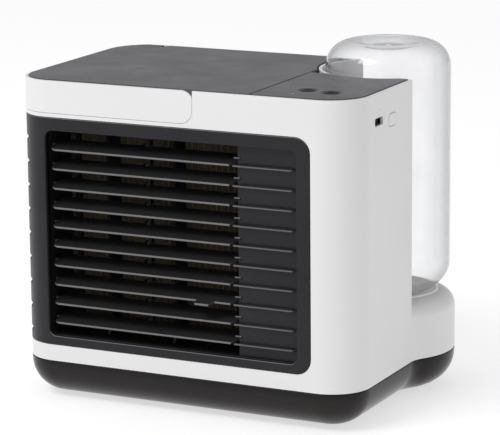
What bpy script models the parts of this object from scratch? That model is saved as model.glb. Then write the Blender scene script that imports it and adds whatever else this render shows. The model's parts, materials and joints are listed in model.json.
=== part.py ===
"""Portable desktop air cooler: a louvred housing on a dark water tray, fed by an inverted bottle.

Metres, +Z up. The front (air outlet) faces -Y. The object stands on four rubber feet at Z = 0, and
the origin is under the middle of its bounding box. Sizes below are given about the middle of the
housing's plan; the empty "cooler" then moves everything so that the origin is as stated.
"""
from math import acos, asin, atan2, cos, pi, radians, sin, sqrt

import bmesh
import bpy
from mathutils import Matrix, Vector

# ---- general ----
GAP = 0.0003              # clearance between pieces that touch
CORNER_STEPS = 8          # segments in a quarter of a housing corner
ROUND_STEPS = 32          # segments round a large turned piece
SMALL_STEPS = 10          # segments round a small turned piece
PIN_STEPS = 6             # segments round a pivot pin and its hole
OVERCUT = 0.004           # how far a cutter runs past the face it opens

# ---- housing ----
WIDTH = 0.237
DEPTH = 0.157
FRONT_RADIUS = 0.0255
REAR_RADIUS = 0.030
WALL = 0.0020
FOOT_PROUD = 0.0018
BASE_HEIGHT = 0.0244
BASE_ROUND = 0.022
BASE_WALL = 0.0025
SHELL_HEIGHT = 0.1824
PLATE_PROUD = 0.0006      # top plates stand this far above the white rim
SHELL_Z = FOOT_PROUD + BASE_HEIGHT
RIM_Z = SHELL_Z + SHELL_HEIGHT
TOP_Z = RIM_Z + PLATE_PROUD
PLATE_THICK = 0.0024
PLATE_INSET = WALL + GAP

# ---- bottle bay at the rear right ----
BOTTLE_RADIUS = 0.0402
BAY_CLEARANCE = 0.0022
BAY_RADIUS = BOTTLE_RADIUS + BAY_CLEARANCE
BAY_X = WIDTH / 2 - 0.032
BAY_Y = DEPTH / 2 - 0.0295
SIDE_END_Y = BAY_Y - BAY_RADIUS + 0.0068   # where the right wall stops
POD_RADIUS = BOTTLE_RADIUS + 0.0034
POD_HEIGHT = 0.0380           # pod top above the housing's lower edge
POD_TOP = SHELL_Z + POD_HEIGHT
POD_FILLET = 0.021
POD_REAR_FILLET = 0.012
SOCKET_LIP = 0.0330
SOCKET_MOUTH = 0.0315
WELL_RADIUS = 0.0205

# ---- bottle ----
BOTTLE_WALL = 0.0012
BOTTLE_RISE = 0.0046478           # shoulder above the pod where it passes over the socket's lip
BODY_LENGTH = 0.1445
DOME_RADIUS = 0.0165
DIMPLE_RADIUS = 0.0170
DIMPLE_DEPTH = 0.0035
SHOULDER_RX = 0.070
SHOULDER_RZ = 0.030
SHOULDER_Z = POD_TOP + BOTTLE_RISE + SHOULDER_RZ * sin(acos(1 - (BOTTLE_RADIUS - SOCKET_LIP) / SHOULDER_RX))
BOTTLE_TOP = SHOULDER_Z + BODY_LENGTH
NECK_RADIUS = 0.0145
NECK_LENGTH = 0.0120
CAP_RADIUS = 0.0175
CAP_HEIGHT = 0.0135
CAP_WALL = 0.0022
VALVE_RADIUS = 0.0045

# ---- front bezel and its opening ----
BEZEL_RIGHT = WIDTH / 2 - 0.0288
BEZEL_Z0 = SHELL_Z + 0.0109
BEZEL_Z1 = RIM_Z - 0.0236
BEZEL_RADIUS = 0.010
BEZEL_THICK = 0.0030
BEZEL_SIDE_Y = -DEPTH / 2 + 0.0585
OPEN_LEFT = -WIDTH / 2 + 0.0240
OPEN_RIGHT = WIDTH / 2 - 0.0381
OPEN_Z0 = SHELL_Z + 0.0166
OPEN_Z1 = RIM_Z - 0.0320
OPEN_RADIUS = 0.005
DIVIDER_X = OPEN_RIGHT - 0.0406
DIVIDER_THICK = 0.0020
SIDE_SLOTS = 9
SIDE_SLOT_TOP = BEZEL_Z1 - 0.0157
SIDE_SLOT_LOW = BEZEL_Z0 + 0.0066
SIDE_SLOT_PITCH = (SIDE_SLOT_TOP - SIDE_SLOT_LOW) / (SIDE_SLOTS - 1)
SIDE_SLOT_HEIGHT = 0.0030
SIDE_SLOT_Y = (-DEPTH / 2 + 0.0068, -DEPTH / 2 + 0.0515)

# ---- louvres ----
LOUVRES = 10
LOUVRE_TOP_Z = OPEN_Z1 - 0.0128   # front edge of the uppermost louvre
LOUVRE_LOW_Z = OPEN_Z0 + 0.00814  # front edge of the lowest louvre
LOUVRE_PITCH = (LOUVRE_TOP_Z - LOUVRE_LOW_Z) / (LOUVRES - 1)
LOUVRE_TILT = 13.0
LOUVRE_CHORD = 0.0170
LOUVRE_THICK = 0.0016
LOUVRE_FRONT = 0.0020             # front edge behind the bezel's face
LOUVRE_AXIS = 0.0092              # pivot behind the front edge, along the blade
LOUVRE_END_GAP = 0.0015
LOUVRE_CORNER = 0.0050
LOUVRE_CHAMFER = (0.0040, 0.0065)
PIVOT_RADIUS = 0.0011
PIVOT_LENGTH = 0.0014
TAB_LOUVRE = 7
TAB_X = (DIVIDER_X - 0.0294, DIVIDER_X - 0.0164)
TAB_PROUD = 0.0048
CRANK_OFFSET = 0.0095
CRANK_RADIUS = 0.0009
LINK_X = OPEN_LEFT + 0.0645
LINK_THICK = 0.0024
LINK_WIDTH = 0.0044
NUB_RISE = 0.0043                 # nub on the divider above each louvre's front edge
NUB_BACK = 0.0045                 # nub behind the bezel's face
NUB_RADIUS = 0.0008
NUB_REACH = 0.0032
RIB_X = (OPEN_LEFT + 0.0350, OPEN_LEFT + 0.0820)
RIB_THICK = 0.0020
RIB_FRONT_Y = -DEPTH / 2 + 0.0235
FRAME_BACK_Y = -DEPTH / 2 + 0.0335
FRAME_WALL = 0.0020

# ---- blank panel ----
PANEL_FACE_Y = -DEPTH / 2 + 0.0045
PANEL_THICK = 0.0025
FALSE_RIB_NOSE = 0.0014
FALSE_RIB_FRONT_Y = -DEPTH / 2 + 0.0015
FALSE_RIB_TIP_X = DIVIDER_X - 0.0029
FALSE_RIB_RAMP = 0.0045

# ---- filter, fan ----
FILTER_FRONT_Y = FRAME_BACK_Y + 0.0050
FILTER_THICK = 0.0220
FILTER_FRAME = 0.0025
FILTER_FOOT_Z = SHELL_Z - 0.0160
FILTER_TOP_Z = OPEN_Z1 + 0.0010
FAN_X = (OPEN_LEFT + DIVIDER_X) / 2
FAN_Z = (OPEN_Z0 + OPEN_Z1) / 2
FAN_RADIUS = (OPEN_Z1 - OPEN_Z0) / 2 - 0.0119
FAN_TIP_GAP = 0.0015
FAN_HUB = 0.0190
FAN_BLADES = 7
FAN_DEPTH = 0.0180
SHROUD_Y = FILTER_FRONT_Y + FILTER_THICK + 0.0280
SHROUD_THICK = 0.0025
MOTOR_RADIUS = 0.0150
MOTOR_LENGTH = 0.0120
SHAFT_RADIUS = 0.0015
GRILLE_MARGIN = 0.0040
GRILLE_SLOTS = 14
GRILLE_SLOT_HEIGHT = 0.0035

# ---- lid ----
SPLIT_X = BAY_X - BAY_RADIUS + 0.0046
SPLIT_GAP = 0.0007
BAND_RIGHT = SPLIT_X - 0.0384
BAND_Z0 = RIM_Z - 0.0207
BAND_RADIUS = 0.0085
BAND_SIDE_Y = DEPTH / 2 - 0.0385
HINGE_RADIUS = PLATE_THICK
HINGE_X = (-WIDTH / 2 + 0.0345, BAY_X - BAY_RADIUS - 0.0019)
HINGE_PIN_RADIUS = 0.0010
HINGE_CLIP_Y = DEPTH / 2 - 0.0090
HINGE_EAR = 0.0040                # width of a hinge bracket
LEDGE_THICK = 0.0015
LID_REAR_RELIEF = 0.0060          # the lid's rear left edge stands this far in front of the hinge axis
LID_SWING_GAP = 0.0005            # between that edge and the corner pad behind it
DECK_Z = BAND_Z0 - 0.0004
DECK_THICK = 0.0018

# ---- controls ----
BUTTONS = ((WIDTH / 2 - 0.0429, -DEPTH / 2 + 0.0287), (WIDTH / 2 - 0.0260, -DEPTH / 2 + 0.0261))
BUTTON_RADIUS = 0.0044
BUTTON_HEIGHT = 0.0050
BUTTON_TRAVEL = 0.0008
LENS_AT = (WIDTH / 2 - 0.0470, -DEPTH / 2 + 0.0152)
LENS_RADIUS = 0.0012
SIDE_BUTTON_Y = SIDE_END_Y - 0.0322
SIDE_BUTTON_Z = RIM_Z - 0.0197
SIDE_BUTTON_SIZE = (0.0128, 0.0078)
SIDE_BUTTON_DEPTH = 0.0050
SIDE_BUTTON_TRAVEL = 0.0007
USB_Y = SIDE_END_Y - 0.0531
USB_Z = RIM_Z - 0.0176
USB_HOLE = (0.0123, 0.0048)
USB_SHELL = (0.0090, 0.0032)
USB_SHELL_WALL = 0.0003
USB_DEPTH = 0.0065
CHARGE_LENS_RISE = 0.0071
CHARGE_LENS_RADIUS = 0.0010
BOARD_THICK = 0.0016
SWITCH_SIZE = 0.0060
SWITCH_HEIGHT = 0.0030

# ---- feet and screws ----
FOOT_RADIUS = 0.0065
FOOT_X, FOOT_Y = WIDTH / 2 - 0.0325, DEPTH / 2 - 0.0325
FEET = ((-FOOT_X, -FOOT_Y), (FOOT_X, -FOOT_Y), (FOOT_X, FOOT_Y), (-FOOT_X, FOOT_Y))
SCREW_INSET = 0.0275
SCREW_X = WIDTH / 2 - 0.0505
SCREWS = ((-SCREW_X, -1), (SCREW_X, -1), (BAY_X - 0.0625, 1), (-SCREW_X, 1))
SCREW_RADIUS = 0.0014
SCREW_HEAD_RADIUS = 0.0030
SCREW_HEAD = 0.0020
SCREW_RECESS_Z = 0.0065
BOSS_RADIUS = 0.0052
SHELL_BOSS_HEIGHT = 0.0095

# ---- where the origin is ----
TAB_REACH = (TAB_PROUD * cos(radians(LOUVRE_TILT)) + LOUVRE_THICK / 2 * sin(radians(LOUVRE_TILT))
             - LOUVRE_FRONT)
CENTRE_X = (BAY_X + POD_RADIUS - WIDTH / 2) / 2
CENTRE_Y = (BAY_Y + POD_RADIUS - DEPTH / 2 - TAB_REACH) / 2


# ---------------------------------------------------------------- materials

def material(name, colour, roughness, metallic=0.0, alpha=1.0):
    """A plain Principled material."""
    made = bpy.data.materials.new(name)
    made.use_nodes = True
    shader = made.node_tree.nodes["Principled BSDF"]
    shader.inputs["Base Color"].default_value = (*colour, 1.0)
    shader.inputs["Roughness"].default_value = roughness
    shader.inputs["Metallic"].default_value = metallic
    shader.inputs["Alpha"].default_value = alpha
    return made


def make_materials():
    return {
        "white_shell": material("white_shell", (0.78, 0.78, 0.79), 0.32),
        "dark_top": material("dark_top", (0.12, 0.12, 0.13), 0.38),
        "charcoal": material("charcoal", (0.045, 0.045, 0.05), 0.45),
        "smoke_tray": material("smoke_tray", (0.03, 0.026, 0.026), 0.12),
        "clear_bottle": material("clear_bottle", (0.9, 0.92, 0.94), 0.04, alpha=0.25),
        "grey_socket": material("grey_socket", (0.45, 0.44, 0.44), 0.4),
        "filter_paper": material("filter_paper", (0.16, 0.12, 0.07), 0.9),
        "inner_grey": material("inner_grey", (0.2, 0.2, 0.21), 0.5),
        "board_green": material("board_green", (0.03, 0.16, 0.07), 0.4),
        "steel": material("steel", (0.6, 0.6, 0.62), 0.3, metallic=1.0),
        "rubber": material("rubber", (0.03, 0.03, 0.03), 0.8),
        "lens": material("lens", (0.7, 0.72, 0.75), 0.2),
    }


# ---------------------------------------------------------------- mesh helpers

def new_object(name, mesh, finish):
    made = bpy.data.objects.new(name, mesh)
    bpy.context.scene.collection.objects.link(made)
    mesh.materials.clear()
    mesh.materials.append(finish)
    return made


def mesh_object(name, points, faces, finish):
    mesh = bpy.data.meshes.new(name)
    mesh.from_pydata([tuple(p) for p in points], [], faces)
    shape = bmesh.new()
    shape.from_mesh(mesh)
    bmesh.ops.recalc_face_normals(shape, faces=shape.faces)
    shape.to_mesh(mesh)
    shape.free()
    return new_object(name, mesh, finish)


def loft(name, rings, finish):
    """A closed solid through rings of equal point count, capped at both ends."""
    count = len(rings[0])
    points = [p for ring in rings for p in ring]
    faces = [list(range(count))[::-1]]
    for level in range(len(rings) - 1):
        low, high = level * count, (level + 1) * count
        for i in range(count):
            j = (i + 1) % count
            faces.append((low + i, low + j, high + j, high + i))
    faces.append(list(range((len(rings) - 1) * count, len(rings) * count)))
    return mesh_object(name, points, faces, finish)


def prism_z(name, outline, low, high, finish):
    return loft(name, [[(x, y, z) for x, y in outline] for z in (low, high)], finish)


def prism_y(name, outline, low, high, finish):
    """Outline of (x, z) points, extruded along Y."""
    return loft(name, [[(x, y, z) for x, z in outline] for y in (low, high)], finish)


def prism_x(name, outline, low, high, finish):
    """Outline of (y, z) points, extruded along X."""
    return loft(name, [[(x, y, z) for y, z in outline] for x in (low, high)], finish)


def box(name, low, high, finish):
    outline = [(low[0], low[1]), (high[0], low[1]), (high[0], high[1]), (low[0], high[1])]
    return prism_z(name, outline, low[2], high[2], finish)


def circle(centre_x, centre_y, radius, steps):
    turns = [2 * pi * i / steps for i in range(steps)]
    return [(centre_x + radius * cos(a), centre_y + radius * sin(a)) for a in turns]


def arc(centre_x, centre_y, radius, start, end, steps):
    """Points from start to end in radians, both included."""
    turns = [start + (end - start) * i / steps for i in range(steps + 1)]
    return [(centre_x + radius * cos(a), centre_y + radius * sin(a)) for a in turns]


def rounded_rect(x0, y0, x1, y1, radii, steps=5):
    """Counter-clockwise from lower left; radii for lower left, lower right, upper right, upper left."""
    corners = ((x0, y0, 1, 1, pi), (x1, y0, -1, 1, 1.5 * pi), (x1, y1, -1, -1, 0), (x0, y1, 1, -1, pi / 2))
    outline = []
    for (x, y, sx, sy, start), radius in zip(corners, radii):
        if radius == 0:
            outline.append((x, y))
        else:
            outline += arc(x + sx * radius, y + sy * radius, radius, start, start + pi / 2, steps)
    return outline


def turned(name, profile, finish, at=(0, 0, 0), steps=ROUND_STEPS, along="Z"):
    """Spin an (r, h) profile about an axis. A profile with points on the axis closes there; one
    without is a closed loop."""
    points, rings = [], []
    for radius, height in profile:
        if radius < 1e-9:
            rings.append([len(points)] * steps)
            points.append((0, 0, height))
        else:
            rings.append(list(range(len(points), len(points) + steps)))
            points += [(x, y, height) for x, y in circle(0, 0, radius, steps)]
    on_axis = profile[0][0] < 1e-9
    faces = []
    for i in range(len(rings) - (1 if on_axis else 0)):
        lower, upper = rings[i], rings[(i + 1) % len(rings)]
        for k in range(steps):
            m = (k + 1) % steps
            corner = [lower[k], lower[m], upper[m], upper[k]]
            face = [v for n, v in enumerate(corner) if v not in corner[:n]]
            if len(face) > 2:
                faces.append(face)
    turn = {"Z": Matrix.Identity(3),
            "Y": Matrix.Rotation(-pi / 2, 3, "X"),
            "X": Matrix.Rotation(pi / 2, 3, "Y")}[along]
    points = [turn @ Vector(p) + Vector(at) for p in points]
    return mesh_object(name, points, faces, finish)


def rod(name, radius, start, end, finish, along="Z", steps=SMALL_STEPS):
    length = max(abs(end[i] - start[i]) for i in range(3))
    low = tuple(min(start[i], end[i]) for i in range(3))
    return turned(name, [(0, 0), (radius, 0), (radius, length), (0, length)], finish, low, steps, along)


def boolean(target, tool, operation):
    """Apply an exact Boolean to target and remove the tool."""
    modifier = target.modifiers.new("cut", "BOOLEAN")
    modifier.operation = operation
    modifier.object = tool
    bpy.context.view_layer.update()
    done = target.evaluated_get(bpy.context.evaluated_depsgraph_get())
    mesh = bpy.data.meshes.new_from_object(done)
    finish = target.data.materials[0]
    target.modifiers.clear()
    target.data = mesh
    mesh.materials.clear()
    mesh.materials.append(finish)
    for polygon in mesh.polygons:
        polygon.material_index = 0
    bpy.data.objects.remove(tool)
    return target


def cut(target, *tools):
    for tool in tools:
        boolean(target, tool, "DIFFERENCE")
    return target


def join(target, *tools):
    for tool in tools:
        boolean(target, tool, "UNION")
    return target


def keep(target, tool):
    return boolean(target, tool, "INTERSECT")


def triangulated(made):
    """Split the faces into triangles, so that a twisted face is exact before a Boolean."""
    shape = bmesh.new()
    shape.from_mesh(made.data)
    bmesh.ops.triangulate(shape, faces=shape.faces)
    shape.to_mesh(made.data)
    shape.free()
    return made


def set_origin(made, origin):
    """Put the object's origin on a point, such as its joint's axis, without moving its shape."""
    made.data.transform(Matrix.Translation(-Vector(origin)))
    made.location = origin
    return made


def smooth(made, angle=30):
    made.data.shade_smooth()
    made.data.set_sharp_from_angle(angle=radians(angle))
    return made


# ---------------------------------------------------------------- plan outlines

def front_corners(inset):
    left = arc(-WIDTH / 2 + FRONT_RADIUS, -DEPTH / 2 + FRONT_RADIUS, FRONT_RADIUS - inset,
               pi, 1.5 * pi, CORNER_STEPS)
    right = arc(WIDTH / 2 - FRONT_RADIUS, -DEPTH / 2 + FRONT_RADIUS, FRONT_RADIUS - inset,
                1.5 * pi, 2 * pi, CORNER_STEPS)
    return left + right


def rear_left_corner(inset):
    return arc(-WIDTH / 2 + REAR_RADIUS, DEPTH / 2 - REAR_RADIUS, REAR_RADIUS - inset,
               pi / 2, pi, CORNER_STEPS)


def tray_outline(inset):
    """Plan of the tray and lower housing: the body with the pod round its rear right corner."""
    side_centre = WIDTH / 2 + POD_FILLET
    drop = sqrt((POD_RADIUS + POD_FILLET) ** 2 - (side_centre - BAY_X) ** 2)
    side_centre_y = BAY_Y - drop
    rear_centre_y = DEPTH / 2 + POD_REAR_FILLET
    reach = sqrt((POD_RADIUS + POD_REAR_FILLET) ** 2 - (rear_centre_y - BAY_Y) ** 2)
    rear_centre_x = BAY_X - reach
    side_turn = atan2(drop, BAY_X - side_centre)
    rear_turn = atan2(BAY_Y - rear_centre_y, reach)
    outline = front_corners(inset)
    outline += arc(side_centre, side_centre_y, POD_FILLET + inset, pi, side_turn, 5)
    outline += arc(BAY_X, BAY_Y, POD_RADIUS - inset, side_turn - pi, rear_turn + pi, 22)[1:-1]
    outline += arc(rear_centre_x, rear_centre_y, POD_REAR_FILLET + inset, rear_turn, -pi / 2, 5)
    return outline + rear_left_corner(inset)


def bay_outline(inset):
    """Plan of the upper housing: the body with the bottle bay scooped out of it."""
    radius = BAY_RADIUS + inset
    end_y = SIDE_END_Y - inset
    start = -asin((BAY_Y - end_y) / radius)
    finish = pi - asin((DEPTH / 2 - inset - BAY_Y) / radius)
    outline = front_corners(inset)
    outline.append((WIDTH / 2 - inset, end_y))
    outline += arc(BAY_X, BAY_Y, radius, start, finish - 2 * pi, 20)
    return outline + rear_left_corner(inset)


# ---------------------------------------------------------------- housing and tray

def make_tray(finish):
    """A bowl: rounded outside, hollow, with four screw bosses that rise above the water."""
    turns = [pi / 2 * i / 4 for i in range(5)]
    outer = [(BASE_ROUND * (1 - cos(a)), FOOT_PROUD + BASE_ROUND * (1 - sin(a))) for a in reversed(turns)]
    outer.append((0.0, SHELL_Z - GAP))
    inner_round = BASE_ROUND - BASE_WALL
    inner = [(BASE_WALL + inner_round * (1 - cos(a)), FOOT_PROUD + BASE_WALL + inner_round * (1 - sin(a)))
             for a in turns]
    levels = outer + [(BASE_WALL, SHELL_Z - GAP)] + inner
    rings = [[(x, y, z) for x, y in tray_outline(inset)] for inset, z in levels]
    tray = loft("base_tray", rings, finish)
    for index, (x, side) in enumerate(SCREWS):
        y = side * (DEPTH / 2 - SCREW_INSET)
        floor = FOOT_PROUD + BASE_WALL / 2
        join(tray, rod("boss", BOSS_RADIUS, (x, y, floor), (x, y, SHELL_Z - GAP), finish))
        cut(tray, rod("recess", SCREW_HEAD_RADIUS + GAP, (x, y, -OVERCUT), (x, y, SCREW_RECESS_Z), finish),
            rod("hole", SCREW_RADIUS + GAP, (x, y, 0), (x, y, SHELL_Z + OVERCUT), finish))
    return smooth(tray)


def make_housing(finish):
    """The white shell: walls over the whole plan, the bottle bay, the pod and every opening."""
    shell = prism_z("housing_shell", tray_outline(0), SHELL_Z, POD_TOP, finish)
    join(shell, prism_z("upper", bay_outline(0), POD_TOP, RIM_Z, finish))
    cut(shell, prism_z("lower_space", tray_outline(WALL), SHELL_Z - OVERCUT, POD_TOP - WALL, finish))
    cut(shell, prism_z("upper_space", bay_outline(WALL), POD_TOP - WALL - OVERCUT, RIM_Z + OVERCUT, finish))
    cut(shell, rod("socket_hole", SOCKET_LIP + GAP, (BAY_X, BAY_Y, POD_TOP - WALL - OVERCUT),
                   (BAY_X, BAY_Y, POD_TOP + OVERCUT), finish, steps=ROUND_STEPS))
    for x, side in SCREWS:
        y = side * (DEPTH / 2 - SCREW_INSET)
        wall_y = side * (DEPTH / 2 - WALL / 2)
        top = SHELL_Z + SHELL_BOSS_HEIGHT
        web = box("web", (x - 0.0015, min(y, wall_y), SHELL_Z + GAP),
                  (x + 0.0015, max(y, wall_y), top - GAP), finish)
        join(shell, web, rod("boss", BOSS_RADIUS - 0.0012, (x, y, SHELL_Z), (x, y, top), finish))
        cut(shell, rod("hole", SCREW_RADIUS + GAP, (x, y, SHELL_Z - OVERCUT), (x, y, top - 0.0015), finish))
    cut(shell, bezel_window(GAP, "window"), band_window(GAP, "band_window"))
    cut(shell, prism_y("rear_hole", grille_outline(0), DEPTH / 2 - WALL - OVERCUT,
                       DEPTH / 2 + OVERCUT, finish))
    cut_side_openings(shell, finish)
    return smooth(join(shell, corner_pad(finish)))


def corner_pad(finish):
    """Pad inside the rear left corner, level with the rim, that closes the space behind the lid's edge."""
    _, axis_y, axis_z = lid_axis()
    front = axis_y - LID_REAR_RELIEF + LID_SWING_GAP
    pad = prism_z("pad", clip_left_of(bay_outline(WALL / 2), HINGE_X[0] - HINGE_EAR - 2 * GAP),
                  axis_z - LEDGE_THICK - GAP, RIM_Z, finish)
    return cut(pad, box("front", (-WIDTH, -DEPTH, axis_z - 0.01), (0, front, axis_z + 0.01), finish))


def cut_side_openings(shell, finish):
    """USB recess, light hole and oval button hole in the right wall."""
    low, high = WIDTH / 2 - WALL - OVERCUT, WIDTH / 2 + OVERCUT
    usb = centred_rect(USB_Y, USB_Z, USB_HOLE[0], USB_HOLE[1], 0.0010)
    oval = centred_rect(SIDE_BUTTON_Y, SIDE_BUTTON_Z, SIDE_BUTTON_SIZE[0] + 2 * GAP,
                        SIDE_BUTTON_SIZE[1] + 2 * GAP, SIDE_BUTTON_SIZE[1] / 2 + GAP)
    light = circle(USB_Y + 0.0008, USB_Z + CHARGE_LENS_RISE, CHARGE_LENS_RADIUS + GAP, SMALL_STEPS)
    for outline in (usb, oval, light):
        cut(shell, prism_x("hole", outline, low, high, finish))


def centred_rect(y, z, width, height, radius):
    return rounded_rect(y - width / 2, z - height / 2, y + width / 2, z + height / 2, [radius] * 4)


def bezel_window(gap, name):
    """The region the bezel fills: everything left of its right edge, front and left side."""
    outline = rounded_rect(-WIDTH / 2 - OVERCUT, BEZEL_Z0 - gap, BEZEL_RIGHT + gap, BEZEL_Z1 + gap,
                           (0, BEZEL_RADIUS + gap, BEZEL_RADIUS + gap, 0))
    return prism_y(name, outline, -DEPTH / 2 - OVERCUT, BEZEL_SIDE_Y + gap, None)


def band_window(gap, name):
    """The region of the lid's front band, open at the top."""
    outline = rounded_rect(-WIDTH / 2 - OVERCUT, BAND_Z0 - gap, BAND_RIGHT + gap, RIM_Z + OVERCUT,
                           (0, BAND_RADIUS + gap, 0, 0))
    return prism_y(name, outline, -DEPTH / 2 - OVERCUT, BAND_SIDE_Y + gap, None)


def front_strip(right, rear_y, thick):
    """Plan of a wall strip: along the front, round the front left corner and down the left side."""
    corner_x, corner_y = -WIDTH / 2 + FRONT_RADIUS, -DEPTH / 2 + FRONT_RADIUS
    outer = arc(corner_x, corner_y, FRONT_RADIUS, pi, 1.5 * pi, CORNER_STEPS)
    inner = arc(corner_x, corner_y, FRONT_RADIUS - thick, 1.5 * pi, pi, CORNER_STEPS)
    outer = [(-WIDTH / 2, rear_y)] + outer + [(right, -DEPTH / 2)]
    inner = [(right, -DEPTH / 2 + thick)] + inner + [(-WIDTH / 2 + thick, rear_y)]
    return outer + inner


def make_bezel(finish):
    bezel = prism_z("front_bezel", front_strip(BEZEL_RIGHT, BEZEL_SIDE_Y, BEZEL_THICK),
                    BEZEL_Z0, BEZEL_Z1, finish)
    keep(bezel, bezel_window(0, "window"))
    opening = rounded_rect(OPEN_LEFT, OPEN_Z0, OPEN_RIGHT, OPEN_Z1, [OPEN_RADIUS] * 4)
    cut(bezel, prism_y("opening", opening, -DEPTH / 2 - OVERCUT, -DEPTH / 2 + BEZEL_THICK + OVERCUT,
                       finish))
    for i in range(SIDE_SLOTS):
        z = SIDE_SLOT_TOP - i * SIDE_SLOT_PITCH
        half = SIDE_SLOT_HEIGHT / 2
        slot = rounded_rect(SIDE_SLOT_Y[0], z - half, SIDE_SLOT_Y[1], z + half, [half * 0.98] * 4, 2)
        cut(bezel, prism_x("slot", slot, -WIDTH / 2 - OVERCUT, OPEN_LEFT - OVERCUT / 2, finish))
    return smooth(bezel)


def grille_outline(inset):
    """Outline (x, z) of the rear air inlet, larger than the fan by a margin."""
    half = FAN_RADIUS + GRILLE_MARGIN - inset
    return rounded_rect(FAN_X - half, FAN_Z - half, FAN_X + half, FAN_Z + half, [0.006 - inset] * 4)


def make_rear_grille(finish):
    """A slotted plate in the rear wall, with a flange inside it."""
    plate = prism_y("rear_grille", grille_outline(GAP), DEPTH / 2 - WALL - 0.0008, DEPTH / 2 - 0.0002, finish)
    half = FAN_RADIUS + GRILLE_MARGIN
    join(plate, prism_y("flange", grille_outline(-0.004), DEPTH / 2 - WALL - GAP - 0.0015,
                        DEPTH / 2 - WALL - GAP, finish))
    pitch = (2 * half - 0.010) / GRILLE_SLOTS
    for i in range(GRILLE_SLOTS):
        z = FAN_Z - half + 0.005 + (i + 0.5) * pitch
        slot = (z - GRILLE_SLOT_HEIGHT / 2, z + GRILLE_SLOT_HEIGHT / 2)
        for low, high in ((FAN_X - half + 0.006, FAN_X - 0.0015), (FAN_X + 0.0015, FAN_X + half - 0.006)):
            cut(plate, box("slot", (low, DEPTH / 2 - 0.010, slot[0]), (high, DEPTH / 2 + OVERCUT, slot[1]),
                           finish))
    return plate


# ---------------------------------------------------------------- louvres

def louvre_front_z(index):
    return LOUVRE_TOP_Z - index * LOUVRE_PITCH


def along_blade(distance, rise=0.0):
    """(y, z) offset from the front edge for a distance back along the tilted blade."""
    tilt = radians(LOUVRE_TILT)
    return (distance * cos(tilt) - rise * sin(tilt), distance * sin(tilt) + rise * cos(tilt))


def louvre_axis(index):
    y, z = along_blade(LOUVRE_AXIS)
    return (0.0, -DEPTH / 2 + LOUVRE_FRONT + y, louvre_front_z(index) + z)


def crank_at(index):
    y, z = along_blade(LOUVRE_AXIS + CRANK_OFFSET)
    return (LINK_X, -DEPTH / 2 + LOUVRE_FRONT + y, louvre_front_z(index) + z)


def make_louvre(name, finish, with_tab):
    """A blade made flat about its pivot: x along it, y back along its chord, then tilted."""
    left, right = OPEN_LEFT + LOUVRE_END_GAP, DIVIDER_X - LOUVRE_END_GAP
    front, back = -LOUVRE_AXIS, LOUVRE_CHORD - LOUVRE_AXIS
    half = LOUVRE_THICK / 2
    outline = arc(left + LOUVRE_CORNER, front + LOUVRE_CORNER, LOUVRE_CORNER, pi, 1.5 * pi, 4)
    if with_tab:
        tab = front - TAB_PROUD
        outline += [(TAB_X[0], front), (TAB_X[0] + 0.0012, tab), (TAB_X[1] - 0.0022, tab),
                    (TAB_X[1], front)]
    outline += [(right - LOUVRE_CHAMFER[0], front), (right, front + LOUVRE_CHAMFER[1]), (right, back)]
    notch_front = CRANK_OFFSET - 0.0042
    outline += [(LINK_X + 0.0030, back), (LINK_X + 0.0030, notch_front), (LINK_X - 0.0024, notch_front)]
    lug_back = CRANK_OFFSET + 0.0017
    outline += [(LINK_X - 0.0024, lug_back), (LINK_X - 0.0050, lug_back), (LINK_X - 0.0050, back),
                (left, back)]
    blade = prism_z(name, outline, -half, half, finish)
    join(blade,
         rod("pin", PIVOT_RADIUS, (OPEN_LEFT - PIVOT_LENGTH, 0, 0), (left + 0.002, 0, 0),
             finish, "X", PIN_STEPS),
         rod("pin", PIVOT_RADIUS, (right - 0.002, 0, 0), (DIVIDER_X + PIVOT_LENGTH, 0, 0),
             finish, "X", PIN_STEPS),
         rod("pin", CRANK_RADIUS, (LINK_X - 0.0030, CRANK_OFFSET, 0),
             (LINK_X + LINK_THICK / 2 + GAP, CRANK_OFFSET, 0), finish, "X", PIN_STEPS))
    blade.data.transform(Matrix.Rotation(radians(LOUVRE_TILT), 4, "X"))
    return blade


def make_louvres(finish):
    """Ten blades; all but the one with the finger tab share a mesh."""
    plain = make_louvre("louvre_01", finish, False)
    tabbed = make_louvre("louvre_%02d" % (TAB_LOUVRE + 1), finish, True)
    made = []
    for index in range(LOUVRES):
        if index == 0:
            blade = plain
        elif index == TAB_LOUVRE:
            blade = tabbed
        else:
            blade = new_object("louvre_%02d" % (index + 1), plain.data, finish)
        blade.location = louvre_axis(index)
        made.append(blade)
    return made


def make_link_bar(finish):
    """The upright bar that ties the cranks of all louvres together."""
    _, y, top = crank_at(0)
    bottom = crank_at(LOUVRES - 1)[2]
    low = (LINK_X - LINK_THICK / 2, y - LINK_WIDTH / 2, bottom - 0.003)
    bar = box("louvre_link_bar", low, (LINK_X + LINK_THICK / 2, y + LINK_WIDTH / 2, top + 0.003), finish)
    for index in range(LOUVRES):
        z = crank_at(index)[2]
        cut(bar, rod("hole", CRANK_RADIUS + GAP, (low[0] - OVERCUT, y, z),
                     (low[0] + LINK_THICK + OVERCUT, y, z), finish, "X", PIN_STEPS))
    return set_origin(bar, crank_at(TAB_LOUVRE))


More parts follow.
